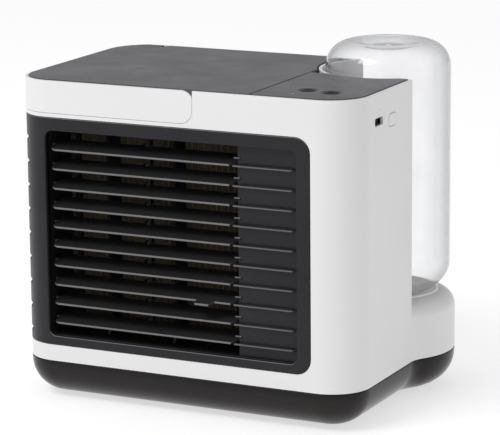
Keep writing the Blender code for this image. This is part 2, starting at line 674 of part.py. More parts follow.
def make_louvre_frame(finish):
    """The air duct behind the bezel: four walls, the divider, two upright ribs, pivot holes, nubs."""
    front, back = -DEPTH / 2 + BEZEL_THICK + 2 * GAP, FRAME_BACK_Y
    left, right, low, high = OPEN_LEFT, OPEN_RIGHT, OPEN_Z0, OPEN_Z1
    frame = box("louvre_frame", (left - FRAME_WALL, front, low - FRAME_WALL),
                (right + FRAME_WALL, back, high + FRAME_WALL), finish)
    cut(frame,
        box("duct", (left, front - OVERCUT, low), (DIVIDER_X, back + OVERCUT, high), finish),
        box("blind", (DIVIDER_X + DIVIDER_THICK, front - OVERCUT, low), (right, back + OVERCUT, high),
            finish))
    for x in RIB_X:
        join(frame, box("rib", (x - RIB_THICK / 2, RIB_FRONT_Y, low - FRAME_WALL / 2),
                        (x + RIB_THICK / 2, back - GAP, high + FRAME_WALL / 2), finish))
    for index in range(LOUVRES):
        y, z = -DEPTH / 2 + NUB_BACK, louvre_front_z(index) + NUB_RISE
        join(frame, rod("nub", NUB_RADIUS, (DIVIDER_X - NUB_REACH, y, z),
                        (DIVIDER_X + DIVIDER_THICK / 2, y, z), finish, "X", PIN_STEPS))
        _, y, z = louvre_axis(index)
        radius = PIVOT_RADIUS + GAP
        cut(frame,
            rod("hole", radius, (left - PIVOT_LENGTH - GAP, y, z), (left + OVERCUT, y, z),
                finish, "X", PIN_STEPS),
            rod("hole", radius, (DIVIDER_X - OVERCUT, y, z), (DIVIDER_X + PIVOT_LENGTH + GAP, y, z),
                finish, "X", PIN_STEPS))
    return frame


def make_blank_panel(finish):
    """The blind panel right of the divider, with false ribs in line with the louvres."""
    left, right = DIVIDER_X + DIVIDER_THICK + GAP, OPEN_RIGHT - GAP
    panel = box("blank_panel", (left, PANEL_FACE_Y, OPEN_Z0 + GAP),
                (right, PANEL_FACE_Y + PANEL_THICK, OPEN_Z1 - GAP), finish)
    nose = FALSE_RIB_NOSE / 2
    front = FALSE_RIB_FRONT_Y
    for index in range(LOUVRES):
        z = louvre_front_z(index)
        root = PANEL_FACE_Y + PANEL_THICK / 2
        section = [(root, z - nose), (front, z - nose), (front, z + nose), (front + 0.0016, z + nose),
                   (PANEL_FACE_Y, z + 0.0015), (root, z + 0.0015)]
        wedge = prism_x("wedge", section, left + GAP, right - FALSE_RIB_RAMP, finish)
        tip = box("tip", (FALSE_RIB_TIP_X, front, z - nose), (left + 0.002, front + 0.0014, z + nose), finish)
        join(panel, join(wedge, tip))
    return panel


# ---------------------------------------------------------------- air path

def make_filter(frame_finish, pad_finish):
    left, right = OPEN_LEFT + 0.001, DIVIDER_X - 0.001
    low, high = FILTER_FOOT_Z, FILTER_TOP_Z
    front, back = FILTER_FRONT_Y, FILTER_FRONT_Y + FILTER_THICK
    frame = box("filter_frame", (left, front, low), (right, back, high), frame_finish)
    edge = FILTER_FRAME
    cut(frame, box("window", (left + edge, front - OVERCUT, low + edge),
                   (right - edge, back + OVERCUT, high - edge), frame_finish))
    inset = edge + GAP
    pad = box("filter_pad", (left + inset, front + 0.002, low + inset),
              (right - inset, back - 0.002, high - inset), pad_finish)
    return frame, pad


def make_fan_shroud(finish):
    """A bulkhead across the air path with a round collar and the struts that hold the motor."""
    left, right = OPEN_LEFT - 0.016, SPLIT_X - 0.0049
    plate = box("fan_shroud", (left, SHROUD_Y, SHELL_Z + 0.004),
                (right, SHROUD_Y + SHROUD_THICK, DECK_Z - 0.004), finish)
    bore = FAN_RADIUS + FAN_TIP_GAP
    depth = FAN_DEPTH + MOTOR_LENGTH
    centre = (FAN_X, SHROUD_Y + SHROUD_THICK / 2, FAN_Z)
    collar = [(bore + 0.002, 0), (bore + 0.002, depth), (bore - 0.002, depth), (bore - 0.002, 0)]
    join(plate, turned("collar", collar, finish, centre, ROUND_STEPS, "Y"))
    cut(plate, rod("bore", bore, (FAN_X, SHROUD_Y - OVERCUT, FAN_Z), (FAN_X, SHROUD_Y + depth + 0.01, FAN_Z),
                   finish, "Y", ROUND_STEPS))
    triangulated(plate)
    back = centre[1] + depth
    mount = rod("mount", MOTOR_RADIUS + 0.003, (FAN_X, back - 0.0025, FAN_Z), (FAN_X, back, FAN_Z),
                finish, "Y", 24)
    for turn in (radians(90), radians(210), radians(330)):
        strut = box("strut", (0.005, back - 0.0022, -0.002), (bore + 0.001, back - 0.0005, 0.002), finish)
        strut.data.transform(Matrix.Rotation(-turn, 4, "Y"))
        strut.data.transform(Matrix.Translation((FAN_X, 0, FAN_Z)))
        join(mount, strut)
    join(plate, triangulated(mount))
    return smooth(plate)


def make_fan(finish, motor_finish, steel):
    """Seven-bladed rotor on the motor's shaft; the motor sits behind it on the shroud's mount."""
    front = SHROUD_Y + 0.0010
    back = front + FAN_DEPTH
    mount_face = SHROUD_Y + SHROUD_THICK / 2 + FAN_DEPTH + MOTOR_LENGTH - 0.0025
    profile = [(0, front), (FAN_HUB - 0.004, front), (FAN_HUB, front + 0.004), (FAN_HUB, back), (0, back)]
    hub = turned("fan_rotor", profile, finish, (FAN_X, 0, FAN_Z), 28, "Y")
    triangulated(hub)
    for index in range(FAN_BLADES):
        join(hub, triangulated(make_fan_blade(index, front, finish)))
    cut(hub, rod("bore", SHAFT_RADIUS + GAP, (FAN_X, back - 0.008, FAN_Z), (FAN_X, back + OVERCUT, FAN_Z),
                 finish, "Y"))
    motor = rod("fan_motor", MOTOR_RADIUS, (FAN_X, back + 0.001, FAN_Z), (FAN_X, mount_face - GAP, FAN_Z),
                motor_finish, "Y", 24)
    shaft = rod("fan_shaft", SHAFT_RADIUS, (FAN_X, back - 0.0075, FAN_Z), (FAN_X, back + 0.001 - GAP, FAN_Z),
                steel, "Y")
    return set_origin(smooth(hub), (FAN_X, SHROUD_Y, FAN_Z)), smooth(motor), smooth(shaft)


def make_fan_blade(index, front, finish):
    """A thin pitched blade: rings of four points that sweep back and flatten towards the tip."""
    rings = []
    for step in range(5):
        share = step / 4
        radius = FAN_HUB - 0.002 + (FAN_RADIUS - FAN_HUB + 0.002) * share
        turn = 2 * pi * index / FAN_BLADES + radians(14) * share
        width = radians(26 - 4 * share)
        pitch = 0.0115 * (1 - 0.35 * share)
        middle = front + FAN_DEPTH / 2
        ring = []
        for sweep, lift in ((-1, 0.0006), (1, 0.0006), (1, -0.0006), (-1, -0.0006)):
            angle = turn + sweep * width / 2
            ring.append((FAN_X + radius * cos(angle), middle + sweep * pitch / 2 + lift,
                         FAN_Z + radius * sin(angle)))
        rings.append(ring)
    return loft("blade", rings, finish)


# ---------------------------------------------------------------- lid and top

def clip_left_of(outline, limit):
    """The part of a convex-edged outline with x below the limit."""
    kept = []
    for (x0, y0), (x1, y1) in zip(outline, outline[1:] + outline[:1]):
        if x0 <= limit:
            kept.append((x0, y0))
        if (x0 <= limit) != (x1 <= limit):
            share = (limit - x0) / (x1 - x0)
            kept.append((limit, y0 + share * (y1 - y0)))
    return kept


def lid_axis():
    return (0.0, DEPTH / 2 - PLATE_INSET - HINGE_RADIUS, TOP_Z - HINGE_RADIUS)


def make_lid_top(finish):
    """The dark lid plate with its hinge barrel along the rear edge."""
    _, y, z = lid_axis()
    bay_cut = rod("bay", BAY_RADIUS + WALL + 0.0010, (BAY_X, BAY_Y, TOP_Z - 0.02),
                  (BAY_X, BAY_Y, TOP_Z + 0.02), finish, steps=64)
    lid = prism_z("lid_top", clip_left_of(bay_outline(PLATE_INSET), SPLIT_X - SPLIT_GAP / 2),
                  TOP_Z - PLATE_THICK, TOP_Z, finish)
    cut(lid, bay_cut,
        box("rear", (-WIDTH, y, z - 0.01), (WIDTH, DEPTH, TOP_Z + OVERCUT), finish),
        box("left_edge", (-WIDTH, y - LID_REAR_RELIEF, z - 0.01),
            (HINGE_X[0], DEPTH, TOP_Z + OVERCUT), finish),
        box("right_clip", (HINGE_X[1], HINGE_CLIP_Y, z - 0.01), (WIDTH, DEPTH, TOP_Z + OVERCUT), finish))
    barrel = rod("barrel", HINGE_RADIUS - 0.00005, (HINGE_X[0] + 0.0005, y, z), (HINGE_X[1] - 0.0005, y, z),
                 finish, "X", 16)
    join(lid, barrel)
    bore = HINGE_PIN_RADIUS + GAP
    cut(lid,
        rod("bore", bore, (HINGE_X[0] - OVERCUT, y, z), (HINGE_X[0] + 0.006, y, z), finish, "X"),
        rod("bore", bore, (HINGE_X[1] - 0.006, y, z), (HINGE_X[1] + OVERCUT, y, z), finish, "X"))
    return set_origin(lid, lid_axis())


def make_lid_band(finish):
    """The white front band of the lid, round the front left corner and along the left side."""
    band = prism_z("lid_band", front_strip(BAND_RIGHT, BAND_SIDE_Y, WALL), BAND_Z0, RIM_Z, finish)
    keep(band, band_window(0, "window"))
    return set_origin(smooth(band), lid_axis())


def make_hinges(bracket_finish, steel):
    """A bracket on the rear wall at each end of the barrel, and the pin that joins them."""
    _, y, z = lid_axis()
    made = []
    for name, end, side in (("left", HINGE_X[0], -1), ("right", HINGE_X[1], 1)):
        inner, outer = end + side * GAP, end + side * HINGE_EAR
        low, high = min(inner, outer), max(inner, outer)
        bracket = box("hinge_bracket_" + name, (low, y - 0.0032, z - 0.0060),
                      (high, DEPTH / 2 - PLATE_INSET, z + 0.0016), bracket_finish)
        cut(bracket, rod("bore", HINGE_PIN_RADIUS + GAP, (low - OVERCUT, y, z), (high + OVERCUT, y, z),
                         bracket_finish, "X"))
        reach = end - side * 0.0050
        pin = rod("hinge_pin_" + name, HINGE_PIN_RADIUS, (min(reach, outer), y, z), (max(reach, outer), y, z),
                  steel, "X")
        made += [bracket, pin]
    return made


def make_deck(finish):
    """The plate under the lid, with the slot through which the filter lifts out."""
    outline = clip_left_of(bay_outline(WALL + GAP), SPLIT_X - 0.004)
    deck = prism_z("inner_deck", outline, DECK_Z - DECK_THICK, DECK_Z, finish)
    cut(deck, box("slot", (OPEN_LEFT - 0.001, FILTER_FRONT_Y - 0.002, DECK_Z - 0.01),
                  (DIVIDER_X + 0.001, FILTER_FRONT_Y + FILTER_THICK + 0.002, DECK_Z + 0.01), finish))
    return deck


def make_partition(finish):
    """The upright wall that keeps the wet side from the electronics: its rear edge follows the bay's wall."""
    left = SPLIT_X - 0.0035
    right = left + 0.0020
    bay_wall_y = BAY_Y - sqrt((BAY_RADIUS + WALL) ** 2 - (BAY_X - right) ** 2)
    return box("partition_wall", (left, -DEPTH / 2 + WALL + 0.006, OPEN_Z1 + FRAME_WALL + 0.002),
               (right, bay_wall_y - 0.0013, TOP_Z - PLATE_THICK - 2 * GAP), finish)


def make_control_panel(finish):
    """The dark plate right of the split, round the bay rim, with two button holes and a light hole."""
    left = SPLIT_X + SPLIT_GAP / 2
    inset = PLATE_INSET
    end_y = SIDE_END_Y - inset
    plate = prism_z("control_panel", bay_outline(inset), TOP_Z - PLATE_THICK, TOP_Z, finish)
    cut(plate, box("left", (-WIDTH, -DEPTH, TOP_Z - 0.02), (left, DEPTH, TOP_Z + 0.02), finish),
        box("rear", (-WIDTH, end_y, TOP_Z - 0.02), (BAY_X + 0.001, DEPTH, TOP_Z + 0.02), finish))
    for x, y in BUTTONS:
        cut(plate, rod("hole", BUTTON_RADIUS + GAP, (x, y, TOP_Z - 0.02), (x, y, TOP_Z + 0.02),
                       finish, steps=20))
    x, y = LENS_AT
    cut(plate, rod("hole", LENS_RADIUS + GAP, (x, y, TOP_Z - 0.02), (x, y, TOP_Z + 0.02), finish))
    return plate


def make_top_buttons(finish):
    made = []
    for name, (x, y) in zip(("left_button", "right_button"), BUTTONS):
        profile = [(0, -BUTTON_HEIGHT), (0.0016, -BUTTON_HEIGHT), (0.0016, -BUTTON_HEIGHT + 0.0018),
                   (BUTTON_RADIUS, -BUTTON_HEIGHT + 0.0022), (BUTTON_RADIUS, -0.0006),
                   (BUTTON_RADIUS - 0.0006, 0), (0, 0)]
        button = turned(name, profile, finish, (x, y, TOP_Z), 20)
        made.append(set_origin(smooth(button), (x, y, TOP_Z)))
    return made


def make_boards(board_finish, dark):
    """Top board under the buttons and side board behind the right wall, with their switches."""
    switch_top = TOP_Z - BUTTON_HEIGHT - BUTTON_TRAVEL - 0.0004
    board_top = switch_top - SWITCH_HEIGHT - GAP
    xs = [x for x, _ in BUTTONS] + [LENS_AT[0]]
    ys = [y for _, y in BUTTONS] + [LENS_AT[1]]
    made = [box("control_board", (min(xs) - 0.008, min(ys) - 0.005, board_top - BOARD_THICK),
                (max(xs) + 0.009, max(ys) + 0.009, board_top), board_finish)]
    half = SWITCH_SIZE / 2
    for name, (x, y) in zip(("left_switch", "right_switch"), BUTTONS):
        made.append(box(name, (x - half, y - half, board_top + GAP), (x + half, y + half, switch_top), dark))
    x, y = LENS_AT
    made.append(rod("indicator_lens", LENS_RADIUS, (x, y, board_top + GAP), (x, y, TOP_Z - 0.0002),
                    bpy.data.materials["lens"]))
    return made


def side_board_face():
    return WIDTH / 2 - WALL - USB_DEPTH - 0.0006


def make_side_controls(finish, board_finish, dark, steel, lens):
    """The oval button in the right wall, its switch and board, the USB socket and the charge light."""
    face = side_board_face()
    board = box("power_board", (face - BOARD_THICK, USB_Y - 0.009, USB_Z - 0.008),
                (face, SIDE_BUTTON_Y + 0.009, USB_Z + 0.011), board_finish)
    cap = centred_rect(SIDE_BUTTON_Y, SIDE_BUTTON_Z, SIDE_BUTTON_SIZE[0], SIDE_BUTTON_SIZE[1],
                       SIDE_BUTTON_SIZE[1] / 2 * 0.999)
    outer = WIDTH / 2 + 0.0002
    button = prism_x("side_button", cap, outer - SIDE_BUTTON_DEPTH, outer, finish)
    set_origin(button, (outer, SIDE_BUTTON_Y, SIDE_BUTTON_Z))
    half = SWITCH_SIZE / 2
    switch_end = outer - SIDE_BUTTON_DEPTH - SIDE_BUTTON_TRAVEL - GAP
    switch = box("side_switch", (face + GAP, SIDE_BUTTON_Y - half, SIDE_BUTTON_Z - half),
                 (switch_end, SIDE_BUTTON_Y + half, SIDE_BUTTON_Z + half), dark)
    low, high = face + GAP, WIDTH / 2 - WALL + 0.0006
    radius = USB_SHELL[1] / 2 * 0.98
    socket = prism_x("usb_socket", centred_rect(USB_Y, USB_Z, *USB_SHELL, radius), low, high, steel)
    wall = 2 * USB_SHELL_WALL
    cut(socket, prism_x("mouth", centred_rect(USB_Y, USB_Z, USB_SHELL[0] - wall, USB_SHELL[1] - wall,
                                              radius - USB_SHELL_WALL), low + 0.0010, high + OVERCUT, steel))
    tongue = box("usb_tongue", (low + 0.0010 + GAP, USB_Y - 0.0033, USB_Z - 0.00035),
                 (high - 0.0008, USB_Y + 0.0033, USB_Z + 0.00035), dark)
    y, z = USB_Y + 0.0008, USB_Z + CHARGE_LENS_RISE
    light = rod("charge_lens", CHARGE_LENS_RADIUS, (face + GAP, y, z), (WIDTH / 2 - 0.0002, y, z), lens, "X")
    return [board, button, switch, socket, tongue, light]


# ---------------------------------------------------------------- bottle and socket

def shoulder(radius_offset, steps=6):
    """Points down the bottle's shoulder, an ellipse cut off at the neck."""
    neck_turn = acos(1 - (BOTTLE_RADIUS - NECK_RADIUS) / SHOULDER_RX)
    points = []
    for i in range(steps + 1):
        turn = neck_turn * i / steps
        points.append((BOTTLE_RADIUS - SHOULDER_RX * (1 - cos(turn)) - radius_offset,
                       SHOULDER_Z - SHOULDER_RZ * sin(turn)))
    return points


def neck_top_z():
    return shoulder(0)[-1][1]


def make_bottle(finish):
    """Thin-walled bottle, neck down: domed end with a ring dimple, straight wall, shoulder, neck."""
    base = BOTTLE_TOP
    steps = 5
    outer = [(0, base - DIMPLE_DEPTH), (DIMPLE_RADIUS * 0.55, base - DIMPLE_DEPTH),
             (DIMPLE_RADIUS, base - 0.0004)]
    outer += [(BOTTLE_RADIUS - DOME_RADIUS + DOME_RADIUS * sin(pi / 2 * i / steps),
               base - DOME_RADIUS + DOME_RADIUS * cos(pi / 2 * i / steps)) for i in range(steps + 1)]
    outer += shoulder(0)
    low = neck_top_z() - NECK_LENGTH
    outer.append((NECK_RADIUS, low))
    wall = BOTTLE_WALL
    inner = [(NECK_RADIUS - wall, low)] + shoulder(wall)[::-1]
    inner += [(BOTTLE_RADIUS - DOME_RADIUS + (DOME_RADIUS - wall) * sin(pi / 2 * i / steps),
               base - DOME_RADIUS + (DOME_RADIUS - wall) * cos(pi / 2 * i / steps))
              for i in range(steps, -1, -1)]
    inner += [(DIMPLE_RADIUS, base - 0.0004 - wall), (DIMPLE_RADIUS * 0.55, base - DIMPLE_DEPTH - wall),
              (0, base - DIMPLE_DEPTH - wall)]
    bottle = turned("bottle", outer + inner, finish, (BAY_X, BAY_Y, 0))
    return set_origin(smooth(bottle), (BAY_X, BAY_Y, 0))


def make_cap(finish, dark):
    """Screw cap over the neck, with a valve plunger through its middle."""
    top = neck_top_z() - 0.0015
    low = top - CAP_HEIGHT
    inner = NECK_RADIUS + GAP
    profile = [(VALVE_RADIUS + GAP, low), (CAP_RADIUS, low), (CAP_RADIUS, top), (inner, top),
               (inner, low + CAP_WALL), (VALVE_RADIUS + GAP, low + CAP_WALL)]
    cap = turned("bottle_cap", profile, finish, (BAY_X, BAY_Y, 0), 28)
    floor = low + CAP_WALL
    stem, head = VALVE_RADIUS - 0.0006, VALVE_RADIUS + 0.003
    profile = [(0, low - 0.002), (stem, low - 0.002), (stem, floor + 0.0015), (head, floor + 0.0015),
               (head, floor + 0.003), (0, floor + 0.003)]
    plunger = turned("cap_valve", profile, dark, (BAY_X, BAY_Y, 0), 16)
    return set_origin(smooth(cap), (BAY_X, BAY_Y, 0)), set_origin(smooth(plunger), (BAY_X, BAY_Y, 0))


def make_socket(finish):
    """Funnel and well under the bottle's neck, with the post that opens the cap's valve."""
    top = POD_TOP + 0.0004
    cap_low = neck_top_z() - 0.0015 - CAP_HEIGHT
    floor = cap_low - 0.0045
    wall = 0.0016
    funnel_top = POD_TOP - 0.0100
    outer = [(0, floor - wall), (WELL_RADIUS + wall, floor - wall), (WELL_RADIUS + wall, funnel_top - 0.010),
             (SOCKET_MOUTH, funnel_top), (SOCKET_LIP, POD_TOP - WALL), (SOCKET_LIP, top)]
    post_top = cap_low - 0.0020 - GAP
    inner = [(SOCKET_MOUTH, top), (SOCKET_MOUTH - 0.0014, funnel_top + 0.001),
             (WELL_RADIUS, funnel_top - 0.009), (WELL_RADIUS, floor), (0.0030, floor),
             (0.0030, post_top), (0, post_top)]
    socket = turned("bottle_socket", outer + inner, finish, (BAY_X, BAY_Y, 0))
    for turn in (0.25, 0.75, 1.25, 1.75):
        x, y = BAY_X + 0.013 * cos(turn * pi), BAY_Y + 0.013 * sin(turn * pi)
        cut(socket, rod("drain", 0.0025, (x, y, floor - wall - OVERCUT), (x, y, floor + OVERCUT), finish))
    return smooth(socket)


# ---------------------------------------------------------------- feet and screws

def make_feet(finish):
    profile = [(0, 0), (FOOT_RADIUS - 0.0005, 0), (FOOT_RADIUS, 0.0005), (FOOT_RADIUS, FOOT_PROUD - GAP),
               (0, FOOT_PROUD - GAP)]
    return [turned("foot_%d" % (i + 1), profile, finish, (x, y, 0), 20) for i, (x, y) in enumerate(FEET)]


def make_screws(steel):
    made = []
    top = SHELL_Z + SHELL_BOSS_HEIGHT - 0.0025
    head_z = SCREW_RECESS_Z - GAP - SCREW_HEAD
    profile = [(0, head_z), (SCREW_HEAD_RADIUS, head_z), (SCREW_HEAD_RADIUS, head_z + SCREW_HEAD),
               (SCREW_RADIUS, head_z + SCREW_HEAD), (SCREW_RADIUS, top), (0, top)]
    for index, (x, side) in enumerate(SCREWS):
        y = side * (DEPTH / 2 - SCREW_INSET)
        made.append(turned("base_screw_%d" % (index + 1), profile, steel, (x, y, 0), SMALL_STEPS))
    return made


# ---------------------------------------------------------------- assembly

def clear_scene():
    for old in list(bpy.data.objects):
        bpy.data.objects.remove(old)


def empty(name, location, parent=None):
    made = bpy.data.objects.new(name, None)
    bpy.context.scene.collection.objects.link(made)
    made.location = location
    made.parent = parent
    return made


def hang(pieces, parent):
    """Parent pieces to an empty and keep where they stand."""
    for piece in pieces:
        piece.parent = parent
        piece.location = piece.location - parent.location


def main():
    clear_scene()
    m = make_materials()
    fixed = [make_tray(m["smoke_tray"]), make_housing(m["white_shell"]), make_bezel(m["charcoal"]),
             make_rear_grille(m["white_shell"]), make_louvre_frame(m["charcoal"]),
             make_blank_panel(m["charcoal"]),
             make_socket(m["grey_socket"]), make_fan_shroud(m["inner_grey"]), make_deck(m["inner_grey"]),
             make_partition(m["inner_grey"]), make_control_panel(m["dark_top"])]
    fixed += make_filter(m["inner_grey"], m["filter_paper"])
    fixed += make_hinges(m["inner_grey"], m["steel"])
    fixed += make_boards(m["board_green"], m["charcoal"])
    fixed += make_side_controls(m["white_shell"], m["board_green"], m["charcoal"], m["steel"], m["lens"])
    fixed += make_feet(m["rubber"]) + make_screws(m["steel"])
    fixed += make_fan(m["inner_grey"], m["charcoal"], m["steel"])
    fixed += make_louvres(m["charcoal"]) + [make_link_bar(m["charcoal"])] + make_top_buttons(m["dark_top"])
    lid = [make_lid_top(m["dark_top"]), make_lid_band(m["white_shell"])]
    bottle = [make_bottle(m["clear_bottle"]), *make_cap(m["white_shell"], m["charcoal"])]

    cooler = empty("cooler", (0, 0, 0))
    lid_hinge = empty("lid_hinge", lid_axis(), cooler)
    bottle_axis = empty("bottle_axis", (BAY_X, BAY_Y, 0), cooler)
    hang(fixed, cooler)
    hang(lid, lid_hinge)
    hang(bottle, bottle_axis)
    cooler.location = (-CENTRE_X, -CENTRE_Y, 0)
    bpy.context.view_layer.update()


main()
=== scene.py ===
"""Looks of the desktop air cooler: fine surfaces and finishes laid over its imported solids.

Metres, +Z up, the louvred front faces -Y. Every visible shell is worked out with numpy: an outline in
plan carried through a profile, a profile spun about an axis, or a section carried along a line. Places
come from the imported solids' boxes, and sizes that those do not give are named below.
"""
import json
from math import cos, pi, radians, sin, sqrt

import bmesh
import bpy
import numpy as np
from mathutils import Matrix, Vector


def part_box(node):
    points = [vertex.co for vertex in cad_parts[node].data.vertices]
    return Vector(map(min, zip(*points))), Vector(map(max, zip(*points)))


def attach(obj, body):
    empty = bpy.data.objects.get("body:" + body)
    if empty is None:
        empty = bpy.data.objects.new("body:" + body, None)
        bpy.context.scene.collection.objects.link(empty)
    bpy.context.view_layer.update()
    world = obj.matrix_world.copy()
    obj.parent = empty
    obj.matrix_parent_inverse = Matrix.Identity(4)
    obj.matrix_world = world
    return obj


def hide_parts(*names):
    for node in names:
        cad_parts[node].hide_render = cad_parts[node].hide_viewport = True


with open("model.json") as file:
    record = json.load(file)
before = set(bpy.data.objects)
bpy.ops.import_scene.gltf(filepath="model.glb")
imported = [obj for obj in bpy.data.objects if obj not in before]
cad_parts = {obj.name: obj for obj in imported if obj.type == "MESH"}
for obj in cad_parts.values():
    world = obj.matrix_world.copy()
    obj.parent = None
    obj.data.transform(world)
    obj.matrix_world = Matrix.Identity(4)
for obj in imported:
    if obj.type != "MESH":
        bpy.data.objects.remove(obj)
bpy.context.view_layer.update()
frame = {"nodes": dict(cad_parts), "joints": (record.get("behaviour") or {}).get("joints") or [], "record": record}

# ---------------------------------------------------------------- places read from the solids

SHELL_LOW, SHELL_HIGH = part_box("housing_shell")
TRAY_LOW, TRAY_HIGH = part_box("base_tray")
BEZEL_LOW, BEZEL_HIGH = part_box("front_bezel")
BAND_LOW, BAND_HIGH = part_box("lid_band")
LID_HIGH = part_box("lid_top")[1]
PANEL_LOW, PANEL_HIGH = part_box("control_panel")
BLANK_LOW, BLANK_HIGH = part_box("blank_panel")
PAD_LOW, PAD_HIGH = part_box("filter_pad")
BOTTLE_LOW, BOTTLE_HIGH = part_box("bottle")
SOCKET_LOW, SOCKET_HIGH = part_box("bottle_socket")
CAP_LOW, CAP_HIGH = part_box("bottle_cap")
OVAL_LOW, OVAL_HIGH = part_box("side_button")
GRILLE_LOW, GRILLE_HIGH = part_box("rear_grille")
USB_LOW, USB_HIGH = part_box("usb_socket")
CHARGE_LOW, CHARGE_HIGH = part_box("charge_lens")
LEFT, FRONT = SHELL_LOW.x, SHELL_LOW.y
RIGHT = PANEL_HIGH.x + 0.0023
REAR = GRILLE_HIGH.y + 0.0002
BOTTLE_X = (BOTTLE_LOW.x + BOTTLE_HIGH.x) / 2
BOTTLE_Y = (BOTTLE_LOW.y + BOTTLE_HIGH.y) / 2
SHELL_Z, RIM_Z = SHELL_LOW.z, SHELL_HIGH.z
TOP_Z = LID_HIGH.z
DUCT_LOW, DUCT_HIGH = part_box("louvre_frame")
LINK_LOW, LINK_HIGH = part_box("louvre_link_bar")
BRACKET_LEFT, BRACKET_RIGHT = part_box("hinge_bracket_left"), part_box("hinge_bracket_right")
DIVIDER_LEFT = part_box("louvre_08")[1].x - 0.0014

# ---------------------------------------------------------------- places read from the joints

PIVOTS = {joint["child"]: joint["pos_m"] for joint in frame["joints"] if "pos_m" in joint}
LOUVRES = 10
BLADES = ["louvre_%02d" % (i + 1) for i in range(LOUVRES)]
TAB_BLADE = "louvre_08"
HINGE_Y, HINGE_Z = PIVOTS["lid"][1:]

# ---------------------------------------------------------------- named sizes

GAP, SEAM = 0.0003, 0.00018              # round a moving part, and between two fixed plates
CLEAR = 0.01                             # how far a cutter stands out of what it cuts
FRONT_RADIUS, REAR_RADIUS = 0.0255, 0.030
WALL = 0.0020
BASE_ROUND, BASE_WALL, BASE_LIP = 0.022, 0.0025, 0.0005
BOSS_RADIUS, SCREW_HEAD, SCREW_SHANK, SCREW_DEPTH = 0.0052, 0.0033, 0.0017, 0.0065
BAY_RADIUS = 0.0424
BAY_END = 0.0010                         # round where the right wall stops at the bay
SIDE_END_Y = BOTTLE_Y - 0.0356
POD_RADIUS = 0.0436
POD_TOP = SOCKET_HIGH.z - 0.0004
POD_FILLET, POD_REAR_FILLET = 0.021, 0.012
POD_ROUND = (0.0115, 0.0110)
RIM_ROUND = 0.0004
WELL_HOLE = 0.0332                       # round hole in the pod for the bottle's socket
GRILLE_INSET, GRILLE_RADIUS = 0.0037, 0.006
OVAL_RADIUS, USB_RADIUS, LIGHT_RADIUS = 0.0042, 0.0012, 0.0009
USB_GAP, USB_WIDER = 0.00085, 0.0008
BEZEL_RIGHT, BEZEL_RADIUS, BEZEL_THICK = BEZEL_HIGH.x, 0.010, 0.0030
DUCT_WALL = 0.0020
OPEN_LEFT, OPEN_RIGHT = DUCT_LOW.x + DUCT_WALL, DUCT_HIGH.x - DUCT_WALL
OPEN_Z0, OPEN_Z1 = DUCT_LOW.z + DUCT_WALL, DUCT_HIGH.z - DUCT_WALL
OPEN_RADIUS, DUCT_RADIUS = 0.005, 0.006
SLOT_TOP, SLOT_PITCH, SLOTS, SLOT_HEIGHT = BEZEL_HIGH.z - 0.0157, 0.0157, 9, 0.0030
SLOT_Y = (FRONT + 0.0068, FRONT + 0.0515)
BAND_RIGHT, BAND_RADIUS = BAND_HIGH.x, 0.0085
BAND_TOP_ROUND = (0.0078, 0.0052)
RIB_X = (0.0580, 0.1050)
LOUVRE_TILT, LOUVRE_THICK = radians(13), 0.0016
LOUVRE_CHORD, LOUVRE_AXIS = 0.0170, 0.0092
PIN_LENGTH, PIN_RADIUS, CRANK_RADIUS, CRANK_Y = 0.0045, 0.0011, 0.0009, 0.0095
PLATE_INSET, PLATE_THICK, PLATE_EDGE = 0.0023, 0.0024, 0.0004
PLATE_Z = TOP_Z - PLATE_THICK
SPLIT_LEFT, SPLIT_RIGHT = LID_HIGH.x - 0.0001, PANEL_LOW.x + 0.0001
LID_RELIEF = 0.0060                      # how far the lid's rear left edge stops short of its hinge
CORNER_FRONT = HINGE_Y - LID_RELIEF + 0.0005
BARREL_RADIUS = 0.00235
DISH_DEPTH, DISH_WIDER = 0.0015, 0.0024
LENS_HOLE = 0.0015
PANEL_FACE = BLANK_HIGH.y - 0.0025
DOME = 0.0165                            # width of the round between the bottle's wall and its dimple
BOTTLE_RADIUS = (BOTTLE_HIGH.x - BOTTLE_LOW.x) / 2
BOTTLE_WALL = 0.0010


# ---------------------------------------------------------------- outlines and meshes

def arc(x, y, radius, start, end, steps):
    """Points (x + r cos a, y + r sin a) with a running evenly from start to end."""
    a = np.linspace(start, end, steps + 1)
    return np.column_stack([x + radius * np.cos(a), y + radius * np.sin(a)])


def rounded(x0, y0, x1, y1, radius, steps=8):
    """A rectangle with four quarter-circle corners, counter-clockwise."""
    return np.vstack([arc(x0 + radius, y0 + radius, radius, pi, 1.5 * pi, steps),
                      arc(x1 - radius, y0 + radius, radius, 1.5 * pi, 2 * pi, steps),
                      arc(x1 - radius, y1 - radius, radius, 0, pi / 2, steps),
                      arc(x0 + radius, y1 - radius, radius, pi / 2, pi, steps)])


def inward(outline, distance):
    """Each point moved along the mean of its two edges' inward normals, so that both edges shift evenly."""
    edge = np.roll(outline, -1, 0) - outline
    normal = np.column_stack([-edge[:, 1], edge[:, 0]]) / np.hypot(*edge.T)[:, None]
    mean = normal + np.roll(normal, 1, 0)
    scale = np.maximum((mean ** 2).sum(1) / 2, 0.5)
    return outline + distance * mean / scale[:, None]


def mesh_object(name, points, faces):
    mesh = bpy.data.meshes.new(name)
    mesh.from_pydata(np.asarray(points, float).tolist(), [], faces)
    mesh.update()
    made = bpy.data.objects.new(name, mesh)
    bpy.context.scene.collection.objects.link(made)
    return made


def grid_faces(rows, columns, looped):
    """Quads between neighbouring rows and columns of a grid stored row by row, closed along each row."""
    r = np.arange(rows if looped else rows - 1)
    row, column = (side.ravel() for side in np.meshgrid(r, np.arange(columns), indexing="ij"))
    below, beside = (row + 1) % rows, (column + 1) % columns
    corners = ((row, column), (row, beside), (below, beside), (below, column))
    return np.column_stack([r * columns + c for r, c in corners]).tolist()


